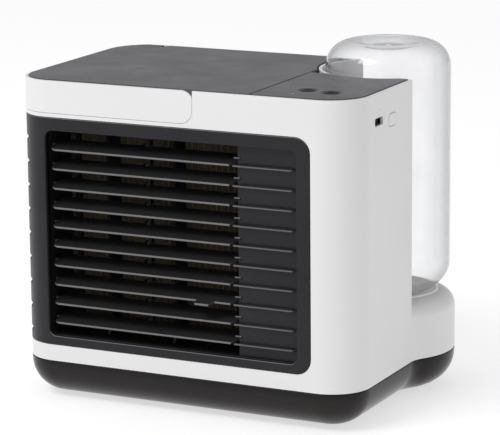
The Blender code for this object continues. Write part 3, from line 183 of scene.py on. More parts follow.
def skin(name, rings, capped=True, looped=False):
    """Rings of equal length joined into a tube: capped at both ends, or looped from the last to the first."""
    rings = np.asarray(rings, float)
    rows, columns = rings.shape[:2]
    faces = grid_faces(rows, columns, looped)
    if capped and not looped:
        faces.append(list(range(columns))[::-1])
        faces.append(list(range((rows - 1) * columns, rows * columns)))
    return outward(mesh_object(name, rings.reshape(-1, 3), faces))


def outward(piece):
    """Turns every face to point out of the closed shape."""
    shape = bmesh.new()
    shape.from_mesh(piece.data)
    bmesh.ops.remove_doubles(shape, verts=shape.verts, dist=1e-6)
    bmesh.ops.recalc_face_normals(shape, faces=shape.faces)
    shape.to_mesh(piece.data)
    shape.free()
    return piece


def carried(name, outline, profile, looped=False):
    """A plan outline carried through a profile: ring k is the outline moved inward by profile[k][0], at
    the height profile[k][1]."""
    rings = [np.column_stack([inward(outline, inset), np.full(len(outline), z)]) for inset, z in profile]
    return skin(name, rings, looped=looped)


def spun(name, profile, centre, steps=96, along="Z"):
    """A profile of (r, h) spun about an axis: point (r cos a, r sin a, h), turned so h runs along it."""
    profile = np.asarray(profile, float)
    a = np.arange(steps) * 2 * pi / steps
    r, h = profile[:, :1], profile[:, 1:]
    x, y, z = r * np.cos(a), r * np.sin(a), h + 0 * a
    axes = {"Z": (x, y, z), "Y": (x, z, -y), "X": (z, x, y)}[along]
    rings = np.stack(axes, -1) + np.asarray(centre, float)
    return skin(name, rings, capped=profile[0, 0] > 1e-9, looped=profile[0, 0] > 1e-9)


def prism(name, outline, low, high, along="Z"):
    """A flat outline pulled from low to high along an axis."""
    rings = []
    for level in (low, high):
        u, v, w = outline[:, 0], outline[:, 1], np.full(len(outline), level)
        rings.append(np.column_stack({"Z": (u, v, w), "Y": (u, w, v), "X": (w, u, v)}[along]))
    return skin(name, rings)


def rod(name, radius, low, high, centre, steps, along="Z"):
    """A round bar about an axis, from low to high on it."""
    return spun(name, [(0, low), (radius, low), (radius, high), (0, high)], centre, steps, along)


def block(name, low, high):
    outline = np.array([(low[0], low[1]), (high[0], low[1]), (high[0], high[1]), (low[0], high[1])])
    return prism(name, outline, low[2], high[2])


def round_edge(radius, steps=3):
    """Quarter circle as (inset, drop) pairs, from the wall to the flat."""
    a = np.linspace(0, pi / 2, steps + 1)
    return np.column_stack([radius * (1 - np.cos(a)), radius * (1 - np.sin(a))])


def plate_profile(low, high, radius):
    """Bottom edge, side and top edge of a plate, each edge rounded."""
    edge = round_edge(radius)
    return [(inset, low + drop) for inset, drop in edge[::-1]] + rounded_top(high, radius)


def rounded_top(top, radius, drop_radius=None, steps=3):
    """The end of a section, rounded from the wall up to the flat by a quarter of an ellipse."""
    fall = (drop_radius or radius) / radius
    return [(inset, top - drop * fall) for inset, drop in round_edge(radius, steps)]


def middle(node):
    """Middle of a solid's box in X and Y."""
    low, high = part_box(node)
    return (low.x + high.x) / 2, (low.y + high.y) / 2


# ---------------------------------------------------------------- finishing

def boolean(target, tool, operation):
    """An exact Boolean, applied; the tool goes."""
    step = target.modifiers.new("cut", "BOOLEAN")
    step.operation = operation
    step.object = tool
    apply_all(target)
    bpy.data.objects.remove(tool)
    return target


def cut(target, *tools):
    for tool in tools:
        boolean(target, tool, "DIFFERENCE")
    return target


def join(target, *tools):
    for tool in tools:
        boolean(target, tool, "UNION")
    return target


def keep(target, tool):
    return boolean(target, tool, "INTERSECT")


def apply_all(piece):
    """Replaces the mesh by what its modifiers make of it."""
    bpy.context.view_layer.update()
    done = piece.evaluated_get(bpy.context.evaluated_depsgraph_get())
    mesh = bpy.data.meshes.new_from_object(done)
    piece.modifiers.clear()
    piece.data = mesh
    return piece


def soften(piece, width=0.0003, angle=40, segments=2):
    """Breaks every edge sharper than an angle with a small round, then shades smooth."""
    shape = bmesh.new()
    shape.from_mesh(piece.data)
    bmesh.ops.remove_doubles(shape, verts=shape.verts, dist=0.00002)
    bmesh.ops.dissolve_degenerate(shape, edges=shape.edges, dist=0.00001)
    bmesh.ops.dissolve_limit(shape, angle_limit=radians(0.3), verts=shape.verts, edges=shape.edges)
    shape.to_mesh(piece.data)
    shape.free()
    bevel = piece.modifiers.new("edge", "BEVEL")
    bevel.width = width
    bevel.segments = segments
    bevel.limit_method = "ANGLE"
    bevel.angle_limit = radians(angle)
    bevel.use_clamp_overlap = False
    bevel.harden_normals = False
    bevel.miter_outer = "MITER_ARC"
    apply_all(piece)
    return shade(piece)


def shade(piece, angle=35):
    """Smooth shading that keeps flat faces flat: a point's normal leans on the largest faces round it."""
    piece.data.shade_smooth()
    piece.data.set_sharp_from_angle(angle=radians(angle))
    weighted = piece.modifiers.new("normals", "WEIGHTED_NORMAL")
    weighted.keep_sharp = True
    weighted.weight = 80
    return apply_all(piece)


def merged(name, *pieces):
    """Several closed shapes as one object, kept as they are."""
    shape = bmesh.new()
    for piece in pieces:
        shape.from_mesh(piece.data)
    mesh = bpy.data.meshes.new(name)
    shape.to_mesh(mesh)
    shape.free()
    for piece in pieces:
        bpy.data.objects.remove(piece)
    made = bpy.data.objects.new(name, mesh)
    bpy.context.scene.collection.objects.link(made)
    return made


def finished(piece, finish, slot, body, *nodes):
    """Gives a piece its finish and its body, and hides the solids it stands for. The slot is not used."""
    piece.data.materials.clear()
    piece.data.materials.append(finish)
    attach(piece, body)
    if nodes:
        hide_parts(*nodes)
    return piece


# ---------------------------------------------------------------- shader expressions

class Socket:
    """A shader value that adds Math nodes when it is used in arithmetic."""

    def __init__(self, tree, link):
        self.tree, self.link = tree, link

    def _math(self, operation, first, second):
        return self.tree.node("ShaderNodeMath", {"operation": operation}, {0: first, 1: second}).out(0)

    def __add__(self, other): return self._math("ADD", self, other)
    def __radd__(self, other): return self._math("ADD", other, self)
    def __sub__(self, other): return self._math("SUBTRACT", self, other)
    def __rsub__(self, other): return self._math("SUBTRACT", other, self)
    def __mul__(self, other): return self._math("MULTIPLY", self, other)
    def __rmul__(self, other): return self._math("MULTIPLY", other, self)
    def __truediv__(self, other): return self._math("DIVIDE", self, other)
    def __pow__(self, other): return self._math("POWER", self, other)


class Added:
    """A node that has been added, whose outputs are read by number or name."""

    def __init__(self, tree, node):
        self.tree, self.node = tree, node

    def out(self, which=0):
        return Socket(self.tree, self.node.outputs[which])


class Finish:
    """A material under construction."""

    def __init__(self, name, **base):
        self.material = bpy.data.materials.new(name)
        self.material.use_nodes = True
        self.tree = self.material.node_tree
        self.shader = self.tree.nodes["Principled BSDF"]
        self.set(**base)

    def node(self, kind, settings=None, values=None):
        made = self.tree.nodes.new(kind)
        for key, value in (settings or {}).items():
            setattr(made, key, value)
        for key, value in (values or {}).items():
            self.feed(made.inputs[key], value)
        return Added(self, made)

    def feed(self, socket, value):
        if isinstance(value, Socket):
            self.tree.links.new(value.link, socket)
        else:
            socket.default_value = value

    def set(self, **values):
        """Sets the shader's own sockets, named with underscores for blanks."""
        for key, value in values.items():
            self.feed(self.shader.inputs[key.replace("_", " ")], value)
        return self

    # pattern sources, all on object coordinates
    def place(self, scale=(1, 1, 1)):
        coordinates = self.node("ShaderNodeTexCoord").out("Object")
        return self.node("ShaderNodeMapping", {}, {"Vector": coordinates, "Scale": scale}).out()

    def noise(self, scale, detail=2.0, roughness=0.5, stretch=(1, 1, 1)):
        return self.node("ShaderNodeTexNoise", {}, {"Vector": self.place(stretch), "Scale": scale,
                                                    "Detail": detail, "Roughness": roughness}).out(0)

    def cells(self, scale):
        return self.node("ShaderNodeTexVoronoi", {}, {"Vector": self.place(), "Scale": scale}).out(0)

    def axis(self, source, which):
        vector = self.node("ShaderNodeTexCoord").out(source)
        return self.node("ShaderNodeSeparateXYZ", {}, {0: vector}).out(which)

    def height(self):
        """Z in metres."""
        return self.axis("Object", 2)

    def depth(self):
        """Y in metres, larger to the rear."""
        return self.axis("Object", 1)

    def forward(self):
        """1 where the surface looks to the front, 0 where it looks sideways, up or down."""
        return 0 - self.axis("Normal", 1)

    def between(self, value, low, high, start=0.0, end=1.0):
        """start below low, end above high, even in between."""
        return self.node("ShaderNodeMapRange", {"clamp": True},
                         {0: value, 1: low, 2: high, 3: start, 4: end}).out(0)

    def blend(self, factor, first, second):
        mix = self.node("ShaderNodeMix", {"data_type": "RGBA"}, {0: factor})
        self.feed(mix.node.inputs[6], first if isinstance(first, Socket) else (*first, 1))
        self.feed(mix.node.inputs[7], second if isinstance(second, Socket) else (*second, 1))
        return mix.out(2)

    def bump(self, height, strength, distance):
        return self.node("ShaderNodeBump", {}, {"Height": height, "Strength": strength,
                                                "Distance": distance}).out()


# ---------------------------------------------------------------- finishes

def moulded(name, colour, deep, roughness, grain=0.5, edge=None, **extra):
    """Moulded plastic: a fine spark-eroded grain, slow cloudy changes of tone, and rubbed patches that are
    slightly glossier. An edge colour, where one is given, is a painted highlight: it brightens what faces the
    front, as light catches on a rounded nose."""
    f = Finish(name)
    cloud = f.noise(14, 3, 0.55)
    speck = f.noise(1500, 2, 0.6)
    rub = f.noise(45, 4, 0.6)
    tone = f.between(cloud * 0.6 + speck * 0.4, 0.3, 0.7)
    shown = f.blend(tone, deep, colour)
    # the edge colour paints a highlight into the base colour
    if edge:
        highlight_mask, colour = edge
        shown = f.blend(highlight_mask(f), shown, colour)
    rough = f.between(rub, 0.3, 0.7, roughness - 0.045, roughness + 0.045)
    f.set(Base_Color=shown, Roughness=rough, Normal=f.bump(speck + 0.35 * rub, grain, 0.00006), **extra)
    return f.material


def white_plastic():
    """Satin white of the shell, the lid's front band and the bottle's cap."""
    return moulded("white_plastic", (0.755, 0.752, 0.757), (0.725, 0.722, 0.729), 0.33, 0.25, IOR=1.5)


def dark_plate_plastic():
    """Matte grey plate: coarser grain than the white shell, with a faint sparkle in it."""
    return moulded("dark_plate_plastic", (0.075, 0.073, 0.087), (0.057, 0.055, 0.066), 0.40, 0.9, IOR=1.45)


def charcoal_plastic():
    """Bezel and duct plastic, with a painted highlight along the bevels that look up and forwards."""
    # bevel picks where the highlight is painted: faces that look up and forwards
    def bevel(f):
        return f.between(f.forward() * f.axis("Normal", 2), 0.16, 0.34)
    return moulded("charcoal_plastic", (0.0165, 0.0165, 0.0195), (0.0085, 0.0085, 0.0105), 0.36, 0.8,
                   edge=(bevel, (0.13, 0.13, 0.135)), IOR=1.33)


def shadow_plastic():
    """Near-black plastic, painted shade for what stands deep behind the louvres or down in a recess."""
    return moulded("shadow_plastic", (0.0075, 0.0075, 0.008), (0.005, 0.005, 0.0055), 0.5, 0.5, IOR=1.3)


def blade_plastic():
    """Louvre plastic with a painted highlight along the nose: the part of it that looks forwards."""
    # nose picks where the highlight is painted: the part of the blade that looks forwards
    def nose(f):
        return f.between(f.forward(), 0.62, 0.92)
    return moulded("blade_plastic", (0.0270, 0.0265, 0.0285), (0.0185, 0.0183, 0.0195), 0.36, 0.5,
                   edge=(nose, (0.150, 0.145, 0.145)), IOR=1.44)


def rib_plastic():
    """Blind panel's plastic, with a painted highlight along the front of its ribs only."""
    # nose picks where the highlight is painted: the front edges of the ribs
    def nose(f):
        front = f.between(f.depth(), BLANK_LOW.y + 0.0012, BLANK_LOW.y + 0.0004)
        return f.between(f.forward(), 0.35, 0.8) * front
    return moulded("rib_plastic", (0.0165, 0.0165, 0.0205), (0.0090, 0.0090, 0.0115), 0.38, 0.9,
                   edge=(nose, (0.140, 0.137, 0.145)), IOR=1.33)


def smoked_plastic():
    """Smoked glossy tray: near black under the housing, and lighter down its lower round as a painted reflection
    of the pale floor.
    """
    f = Finish("smoked_plastic")
    cloud = f.noise(9, 3, 0.5)
    rub = f.noise(60, 4, 0.6)
    # colour by height: the lighter low band is a painted reflection of the floor
    level = f.height() + 0.005 * cloud
    middle = f.blend(f.between(level, 0.0055, 0.0165), (0.040, 0.034, 0.036), (0.0130, 0.0095, 0.0095))
    f.set(Base_Color=f.blend(f.between(level, 0.0235, 0.0285), middle, (0.002, 0.0018, 0.0018)),
          Roughness=f.between(rub, 0.3, 0.7, 0.09, 0.15), IOR=1.5, Specular_IOR_Level=0.24,
          Normal=f.bump(rub, 0.12, 0.0001))
    return f.material


def clear_plastic():
    """Clear blown plastic, tinted grey where the eye meets the wall at a slant as a painted reflection of dark
    surroundings, with faint streaks down the wall from the mould. Light on its way to what stands behind passes
    straight through."""
    f = Finish("clear_plastic", Transmission_Weight=1.0, IOR=1.36)
    streak = f.noise(55, 3, 0.55, stretch=(1, 1, 0.08))
    mist = f.noise(26, 4, 0.6)
    # the grey at a slant is a painted reflection: it stands in for the dark edges that reflections give
    slant = f.node("ShaderNodeLayerWeight", {}, {"Blend": 0.26}).out(1)
    clear = f.blend(f.between(mist, 0.35, 0.7), (0.985, 0.985, 0.99), (0.930, 0.933, 0.944))
    f.set(Base_Color=f.blend(f.between(slant, 0.10, 0.75), clear, (0.26, 0.265, 0.29)),
          Roughness=f.between(streak, 0.3, 0.7, 0.015, 0.05), Normal=f.bump(streak, 0.10, 0.0003))
    shadow = f.node("ShaderNodeLightPath").out("Is Shadow Ray")
    gap = f.node("ShaderNodeBsdfTransparent", {}, {"Color": (0.95, 0.95, 0.955, 1)})
    mix = f.node("ShaderNodeMixShader", {}, {0: shadow})
    f.tree.links.new(f.shader.outputs[0], mix.node.inputs[1])
    f.tree.links.new(gap.node.outputs[0], mix.node.inputs[2])
    f.tree.links.new(mix.node.outputs[0], f.tree.nodes["Material Output"].inputs[0])
    return f.material


def socket_plastic():
    """Pale funnel plastic that glows a little: painted light, standing in for the light that the clear neck lets
    in.
    """
    # the emission is painted light: the funnel is no lamp
    return moulded("socket_plastic", (0.84, 0.82, 0.80), (0.78, 0.76, 0.74), 0.34, 0.4, IOR=1.48,
                   Emission_Color=(1, 0.97, 0.94, 1), Emission_Strength=0.14)


def wick_paper():
    """Pleated wick: brown fibres running across the pleats, blotched where it has been wet."""
    f = Finish("wick_paper")
    fibre = f.noise(900, 4, 0.65, stretch=(0.3, 1, 1))
    blotch = f.noise(35, 3, 0.6)
    tone = f.between(fibre * 0.6 + blotch * 0.5, 0.35, 0.75)
    f.set(Base_Color=f.blend(tone, (0.040, 0.029, 0.015), (0.135, 0.100, 0.058)), Roughness=0.92,
          Normal=f.bump(fibre, 0.8, 0.0003), Sheen_Weight=0.15)
    return f.material


def inner_plastic():
    """Grey plastic of what is inside the housing."""
    return moulded("inner_plastic", (0.15, 0.15, 0.16), (0.12, 0.12, 0.13), 0.5, 0.5, IOR=1.46)


def circuit_board():
    """Solder mask over faint copper tracks on a square grid of cells."""
    f = Finish("circuit_board")
    track = f.between(f.cells(420), 0.10, 0.16)
    f.set(Base_Color=f.blend(track, (0.16, 0.30, 0.12), (0.012, 0.085, 0.035)), Roughness=0.35,
          Normal=f.bump(track, 0.4, 0.0001), Coat_Weight=0.3)
    return f.material


def plated_steel():
    """Brushed steel: fine scratches along Y vary its gloss."""
    f = Finish("plated_steel", Base_Color=(0.62, 0.62, 0.64, 1), Metallic=1.0)
    brush = f.noise(700, 3, 0.6, stretch=(1, 0.1, 1))
    f.set(Roughness=f.between(brush, 0.3, 0.7, 0.22, 0.38), Normal=f.bump(brush, 0.2, 0.00005))
    return f.material


def soft_rubber():
    """Matte black rubber of the feet."""
    return moulded("soft_rubber", (0.030, 0.030, 0.031), (0.020, 0.020, 0.021), 0.82, 0.9)


def frosted_lens():
    """Milky cover of a small light."""
    return moulded("frosted_lens", (0.70, 0.72, 0.76), (0.62, 0.64, 0.68), 0.25, 0.2, Coat_Weight=0.5)


# ---------------------------------------------------------------- plan outlines

CORNER = 20


def front_corners(inset=0.0):
    y, radius = FRONT + FRONT_RADIUS, FRONT_RADIUS - inset
    return np.vstack([arc(LEFT + FRONT_RADIUS, y, radius, pi, 1.5 * pi, CORNER),
                      arc(RIGHT - FRONT_RADIUS, y, radius, 1.5 * pi, 2 * pi, CORNER)])


def rear_left_corner(inset=0.0):
    return arc(LEFT + REAR_RADIUS, REAR - REAR_RADIUS, REAR_RADIUS - inset, pi / 2, pi, CORNER)


def pod_plan():
    """Body with the round pod at its rear right: the pod's circle meets the side and the rear through two
    hollow fillets, each tangent to both."""
    side_x = RIGHT + POD_FILLET
    drop = sqrt((POD_RADIUS + POD_FILLET) ** 2 - (side_x - BOTTLE_X) ** 2)
    side_y = BOTTLE_Y - drop
    rear_y = REAR + POD_REAR_FILLET
    reach = sqrt((POD_RADIUS + POD_REAR_FILLET) ** 2 - (rear_y - BOTTLE_Y) ** 2)
    rear_x = BOTTLE_X - reach
    side_turn = np.arctan2(drop, BOTTLE_X - side_x)
    rear_turn = np.arctan2(BOTTLE_Y - rear_y, reach)
    return np.vstack([front_corners(),
                      arc(side_x, side_y, POD_FILLET, pi, side_turn, 14),
                      arc(BOTTLE_X, BOTTLE_Y, POD_RADIUS, side_turn - pi, rear_turn + pi, 72)[1:-1],
                      arc(rear_x, rear_y, POD_REAR_FILLET, rear_turn, -pi / 2, 12),
                      rear_left_corner()])


def bay_plan(inset=0.0):
    """Body with the bottle bay scooped out of its rear right, moved in evenly: the right wall stops short,
    with a small round, and the bay's arc runs round to the rear wall."""
    end, radius = max(BAY_END - inset, 0.0002), BAY_RADIUS + inset
    start = -np.arcsin((BOTTLE_Y - SIDE_END_Y + inset) / radius)
    finish = pi - np.arcsin((REAR - inset - BOTTLE_Y) / radius)
    return np.vstack([front_corners(inset),
                      arc(RIGHT - inset - end, SIDE_END_Y - inset - end, end, 0, pi / 2, 4),
                      arc(BOTTLE_X, BOTTLE_Y, radius, start, finish - 2 * pi, 64),
                      rear_left_corner(inset)])


def strip_plan(right, rear, thick):
    """A wall strip along the front, round the front left corner and down the left side."""
    x, y = LEFT + FRONT_RADIUS, FRONT + FRONT_RADIUS
    outer = arc(x, y, FRONT_RADIUS, pi, 1.5 * pi, CORNER)
    inner = arc(x, y, FRONT_RADIUS - thick, 1.5 * pi, pi, CORNER)
    return np.vstack([[(LEFT, rear)], outer, [(right, FRONT), (right, FRONT + thick)], inner,
                      [(LEFT + thick, rear)]])


def window(name, right, z0, z1, radius, rear, open_top=False):
    """Everything left of a round-cornered right edge, between two heights, as far back as rear."""
    far = LEFT - CLEAR
    lower = arc(right - radius, z0 + radius, radius, 1.5 * pi, 2 * pi, 8)
    upper = [(right, z1)] if open_top else arc(right - radius, z1 - radius, radius, 0, pi / 2, 8)
    outline = np.vstack([[(far, z0)], lower, upper, [(far, z1)]])
    return prism(name, outline, FRONT - CLEAR, rear, "Y")


# ---------------------------------------------------------------- tray and housing

def make_tray(finish):
    """The plan with the pod, carried through a bowl's section: out along a quarter circle, up to the
    housing, over the lip and back down inside."""
    low = TRAY_LOW.z
    outer = [(BASE_ROUND * (1 - sin(a)), low + BASE_ROUND * (1 - cos(a))) for a in np.linspace(0, pi / 2, 13)]
    lip = rounded_top(TRAY_HIGH.z, BASE_LIP)
    inner_round = BASE_ROUND - BASE_WALL
    inner = [(BASE_WALL + inset, low + BASE_WALL + drop) for inset, drop in round_edge(inner_round, 8)]
    tray = carried("tray_bowl", pod_plan(), outer + lip + [(BASE_WALL, TRAY_HIGH.z)] + inner)
    recess = [(0, -CLEAR), (SCREW_HEAD, -CLEAR), (SCREW_HEAD, SCREW_DEPTH), (SCREW_SHANK, SCREW_DEPTH),
              (SCREW_SHANK, 0.04), (0, 0.04)]
    for i in range(1, 5):
        centre = (*middle("base_screw_%d" % i), 0)
        join(tray, rod("boss", BOSS_RADIUS, low + 0.001, TRAY_HIGH.z, centre, 32))
        cut(tray, spun("recess", recess, centre, 32))
    return finished(shade(tray), finish, "smoke_tray", "housing", "base_tray")


def make_shell(finish):
    """White shell: the bay plan at full height joined to the pod plan, whose top edge rounds over in a
    quarter ellipse; then hollowed and cut for its openings."""
    full = [(0, SHELL_Z)] + rounded_top(RIM_Z, RIM_ROUND)
    shell = carried("outer_shell", bay_plan(), full)
    over = [(0, SHELL_Z)] + rounded_top(POD_TOP, *POD_ROUND, steps=10)
    join(shell, carried("pod", pod_plan(), over))
    lower = [(WALL, SHELL_Z - 0.004), (WALL, POD_TOP - 0.013), (WALL + 0.011, POD_TOP - WALL)]
    cut(shell, carried("lower_space", pod_plan(), lower))
    cut(shell, prism("upper_space", bay_plan(WALL), POD_TOP - 0.014, RIM_Z + 0.004))
    cut(shell, rod("socket_hole", WELL_HOLE, POD_TOP - 0.02, POD_TOP + CLEAR, (BOTTLE_X, BOTTLE_Y, 0), 96))
    cut(shell, window("bezel_window", BEZEL_RIGHT + GAP, BEZEL_LOW.z - GAP, BEZEL_HIGH.z + GAP,
                      BEZEL_RADIUS + GAP, BEZEL_HIGH.y + GAP),
        window("band_window", BAND_RIGHT + SEAM, BAND_LOW.z - SEAM, RIM_Z + CLEAR, BAND_RADIUS + SEAM,
               BAND_HIGH.y + SEAM, open_top=True))
    inlet = rounded(GRILLE_LOW.x + GRILLE_INSET, GRILLE_LOW.z + GRILLE_INSET,
                    GRILLE_HIGH.x - GRILLE_INSET, GRILLE_HIGH.z - GRILLE_INSET, GRILLE_RADIUS)
    cut(shell, prism("rear_hole", inlet, REAR - CLEAR, REAR + CLEAR, "Y"))
    for name, low, high, radius, grow, wide in (("oval", OVAL_LOW, OVAL_HIGH, OVAL_RADIUS, GAP, 0.0),
                                                ("usb", USB_LOW, USB_HIGH, USB_RADIUS, USB_GAP, USB_WIDER)):
        outline = rounded(low.y - grow - wide, low.z - grow, high.y + grow + wide, high.z + grow,
                          radius - 1e-5)
        cut(shell, prism(name, outline, RIGHT - CLEAR, RIGHT + CLEAR, "X"))
    y, z = (CHARGE_LOW.y + CHARGE_HIGH.y) / 2, (CHARGE_LOW.z + CHARGE_HIGH.z) / 2
    cut(shell, rod("light", LIGHT_RADIUS, RIGHT - CLEAR, RIGHT + CLEAR, (0, y, z), 24, "X"))
    pad = prism("pad", bay_plan(WALL / 2), PLATE_Z - 0.0018, PLATE_Z)
    keep(pad, block("part", (LEFT - CLEAR, CORNER_FRONT, 0.1), (BRACKET_LEFT[0].x - GAP, REAR, 0.3)))
    join(shell, pad)
    return finished(soften(shell, 0.00018), finish, "white_shell", "housing", "housing_shell")


def make_bezel(finish):
    """The bezel's strip cut to its round-cornered window, with the outlet and the side slots."""
    bezel = prism("bezel_ring", strip_plan(BEZEL_RIGHT, BEZEL_HIGH.y, BEZEL_THICK), BEZEL_LOW.z, BEZEL_HIGH.z)
    keep(bezel, window("edge", BEZEL_RIGHT, BEZEL_LOW.z, BEZEL_HIGH.z, BEZEL_RADIUS, BEZEL_HIGH.y))
    cut(bezel, prism("outlet", rounded(OPEN_LEFT, OPEN_Z0, OPEN_RIGHT, OPEN_Z1, OPEN_RADIUS),
                     FRONT - CLEAR, FRONT + CLEAR, "Y"))
    half = SLOT_HEIGHT / 2
    for i in range(SLOTS):
        z = SLOT_TOP - i * SLOT_PITCH
        slot = rounded(SLOT_Y[0], z - half, SLOT_Y[1], z + half, half * 0.98, 5)
        cut(bezel, prism("slot", slot, LEFT - CLEAR, OPEN_LEFT - 0.0005, "X"))
    return finished(soften(bezel, 0.0006, segments=3), finish, "charcoal", "housing", "front_bezel")


# ---------------------------------------------------------------- louvres and blank panel

def blade_plan(low, high, tab):
    """Blade outline flat about its pivot: round left nose, chamfered right nose, a tab where one is, and
    the notch behind for the link bar."""
    left, right = low.x + 0.0029, high.x - 0.0029
    nose, back = -LOUVRE_AXIS, LOUVRE_CHORD - LOUVRE_AXIS
    link = (LINK_LOW.x + LINK_HIGH.x) / 2
    points = [arc(left + 0.005, nose + 0.005, 0.005, pi, 1.5 * pi, 10)]
    if tab:
        start, end, reach = OPEN_LEFT + 0.1049, OPEN_LEFT + 0.1179, nose - 0.0048
        points.append([(start, nose), (start + 0.0008, reach + 0.0006), (start + 0.0014, reach),
                       (end - 0.0024, reach), (end - 0.0018, reach + 0.0006), (end, nose)])
    points.append([(right - 0.004, nose), (right, nose + 0.0065), (right, back),
                   (link + 0.003, back), (link + 0.003, 0.0053), (link - 0.0024, 0.0053),
                   (link - 0.0024, 0.0112), (link - 0.005, 0.0112), (link - 0.005, back), (left, back)])
    return np.vstack(points)


def make_louvre(name, finish):
    """The blade's outline carried through a rounded plate profile, with its pins, then tilted about its
    pivot and set in place."""
    low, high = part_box(name)
    half = LOUVRE_THICK / 2
    outline = blade_plan(low, high, tab=name == TAB_BLADE)
    blade = carried(name + "_blade", outline, plate_profile(-half, half, 0.0006))
    pins = [rod("pin", PIN_RADIUS, low.x, low.x + PIN_LENGTH, (0, 0, 0), 16, "X"),
            rod("pin", PIN_RADIUS, high.x - PIN_LENGTH, high.x, (0, 0, 0), 16, "X"),
            rod("crank", CRANK_RADIUS, LINK_LOW.x - 0.0018, LINK_HIGH.x + GAP, (0, CRANK_Y, 0), 16, "X")]
    blade = merged(name + "_blade", blade, *pins)
    set_at = Matrix.Translation((0, *PIVOTS[name][1:]))
    blade.data.transform(set_at @ Matrix.Rotation(LOUVRE_TILT, 4, "X"))
    return finished(shade(blade), finish, "charcoal", name, name)


def make_frame(finish):
    """Duct behind the bezel: a rounded ring carried along Y, the divider, and two upright ribs whose front
    edges are scalloped by circles about the louvres' pivots. A nub stands on the divider over each blade."""
    front, back, sunk = DUCT_LOW.y, DUCT_HIGH.y, 0.001
    ring = rounded(DUCT_LOW.x, DUCT_LOW.z, DUCT_HIGH.x, DUCT_HIGH.z, DUCT_RADIUS)
    duct = prism("duct", ring, front, back, "Y")
    bore = rounded(OPEN_LEFT, OPEN_Z0, OPEN_RIGHT, OPEN_Z1, 0.0045)
    cut(duct, prism("bore", bore, front - CLEAR, back + CLEAR, "Y"))
    join(duct, block("divider", (DIVIDER_LEFT, PANEL_FACE + 0.0026, OPEN_Z0 - sunk),
                     (DIVIDER_LEFT + DUCT_WALL, back, OPEN_Z1 + sunk)))
    rib_front = PIVOTS[BLADES[0]][1] + 0.0050
    for x in RIB_X:
        left = LEFT + x
        rib = block("rib", (left, rib_front, OPEN_Z0 - sunk), (left + DUCT_WALL, back, OPEN_Z1 + sunk))
        for name in BLADES:
            pivot = (0, *PIVOTS[name][1:])
            cut(rib, rod("swing", LOUVRE_AXIS, left - CLEAR, left + 2 * CLEAR, pivot, 48, "X"))
        join(duct, rib)
    start, end, r = DIVIDER_LEFT - 0.0032, DIVIDER_LEFT + sunk, 0.0008
    section = [(0, start), (r - 0.0002, start), (r, start + 0.0002), (r, end), (0, end)]
    nubs = [spun("nub", section, (0, FRONT + 0.0045, blade_front_z(name) + 0.0043), 16, "X")
            for name in BLADES]
    duct = merged("louvre_duct", soften(duct, 0.0002), *nubs)
    return finished(shade(duct), finish, "charcoal", "housing", "louvre_frame")


def blade_front_z(name):
    """Height of a louvre's front edge, which its false rib lines up with."""
    return PIVOTS[name][2] - LOUVRE_AXIS * sin(LOUVRE_TILT)


def make_blank(finish):
    """The blind panel and its ten false ribs. A rib is a wedge section carried along X: its depth is full
    up to a ramp at the right end, where it falls to nothing, and it thins to a tip at the left."""
    face, front, right = PANEL_FACE, BLANK_LOW.y, BLANK_HIGH.x
    body_left = right - 0.0380
    plate = rounded(body_left, BLANK_LOW.z, right, BLANK_HIGH.z, 0.0004, 2)
    panel = prism("blank_face", plate, face, BLANK_HIGH.y, "Y")
    join(panel, block("cheek", (DIVIDER_LEFT - 0.0006, face, OPEN_Z0),
                      (DIVIDER_LEFT + 0.004, face + 0.0024, OPEN_Z1)))
    half, bevel, root = 0.0006, 0.0004, face + 0.0010
    x = np.array([BLANK_LOW.x, body_left, body_left + 0.0005, right - 0.0045, right - 0.0004])
    nose = face - (face - front) * np.array([1, 1, 1, 1, 0.06])
    swell = half + 0.0009 * np.array([0, 0, 1, 1, 0.06])
    outline = ((root, -half), (nose + bevel, -half), (nose, bevel - half), (nose, half - bevel),
               (nose + 0.0005, half), (face - 0.0002, swell), (root, swell))
    shapes = [panel]
    for name in BLADES:
        z = blade_front_z(name)
        section = np.stack([np.column_stack([x, y + 0 * x, z + rise + 0 * x]) for y, rise in outline], 1)
        section[:2, [0, 5, 6], 1] = front + 0.0016
        shapes.append(skin("rib", section))
    blank = merged("blank_face", *shapes)
    return finished(shade(blank, 30), finish, "charcoal", "housing", "blank_panel")


def make_link(finish):
    """Upright bar with rounded corners and ends."""
    outline = rounded(LINK_LOW.x, LINK_LOW.y, LINK_HIGH.x, LINK_HIGH.y, 0.0006, 3)
    bar = carried("link_bar", outline, plate_profile(LINK_LOW.z, LINK_HIGH.z, 0.0005))
    return finished(shade(bar), finish, "charcoal", "link_bar", "louvre_link_bar")


def make_pad(finish):
    """Pleated wick: both faces wave in X by y = y0 + a (1/2 - 1/2 cos(2 pi x / p)) ^ 0.8."""
    pitch, depth = 0.0042, 0.0032
    count = int(round((PAD_HIGH.x - PAD_LOW.x) / pitch))
    share = np.arange(count * 6 + 1) / 6
    x = PAD_LOW.x + share / count * (PAD_HIGH.x - PAD_LOW.x)
    wave = depth * (0.5 - 0.5 * np.cos(2 * pi * share)) ** 0.8
    front = np.column_stack([x, PAD_LOW.y + wave])
    back = np.column_stack([x, PAD_HIGH.y - depth + wave])[::-1]
    pad = prism("wick", np.vstack([front, back]), PAD_LOW.z, PAD_HIGH.z)
    return finished(shade(pad, 60), finish, "filter_paper", "housing", "filter_pad")


# ---------------------------------------------------------------- lid, panel and controls

def clipped_plate(name, low_x, high_x, low_y, high_y, z0, z1):
    """The bay plan moved in by the plate's inset, kept between limits in X and Y."""
    plate = prism(name, bay_plan(PLATE_INSET), z0, z1)
    return keep(plate, block("part", (low_x, low_y, z0 - CLEAR), (high_x, high_y, z1 + CLEAR)))


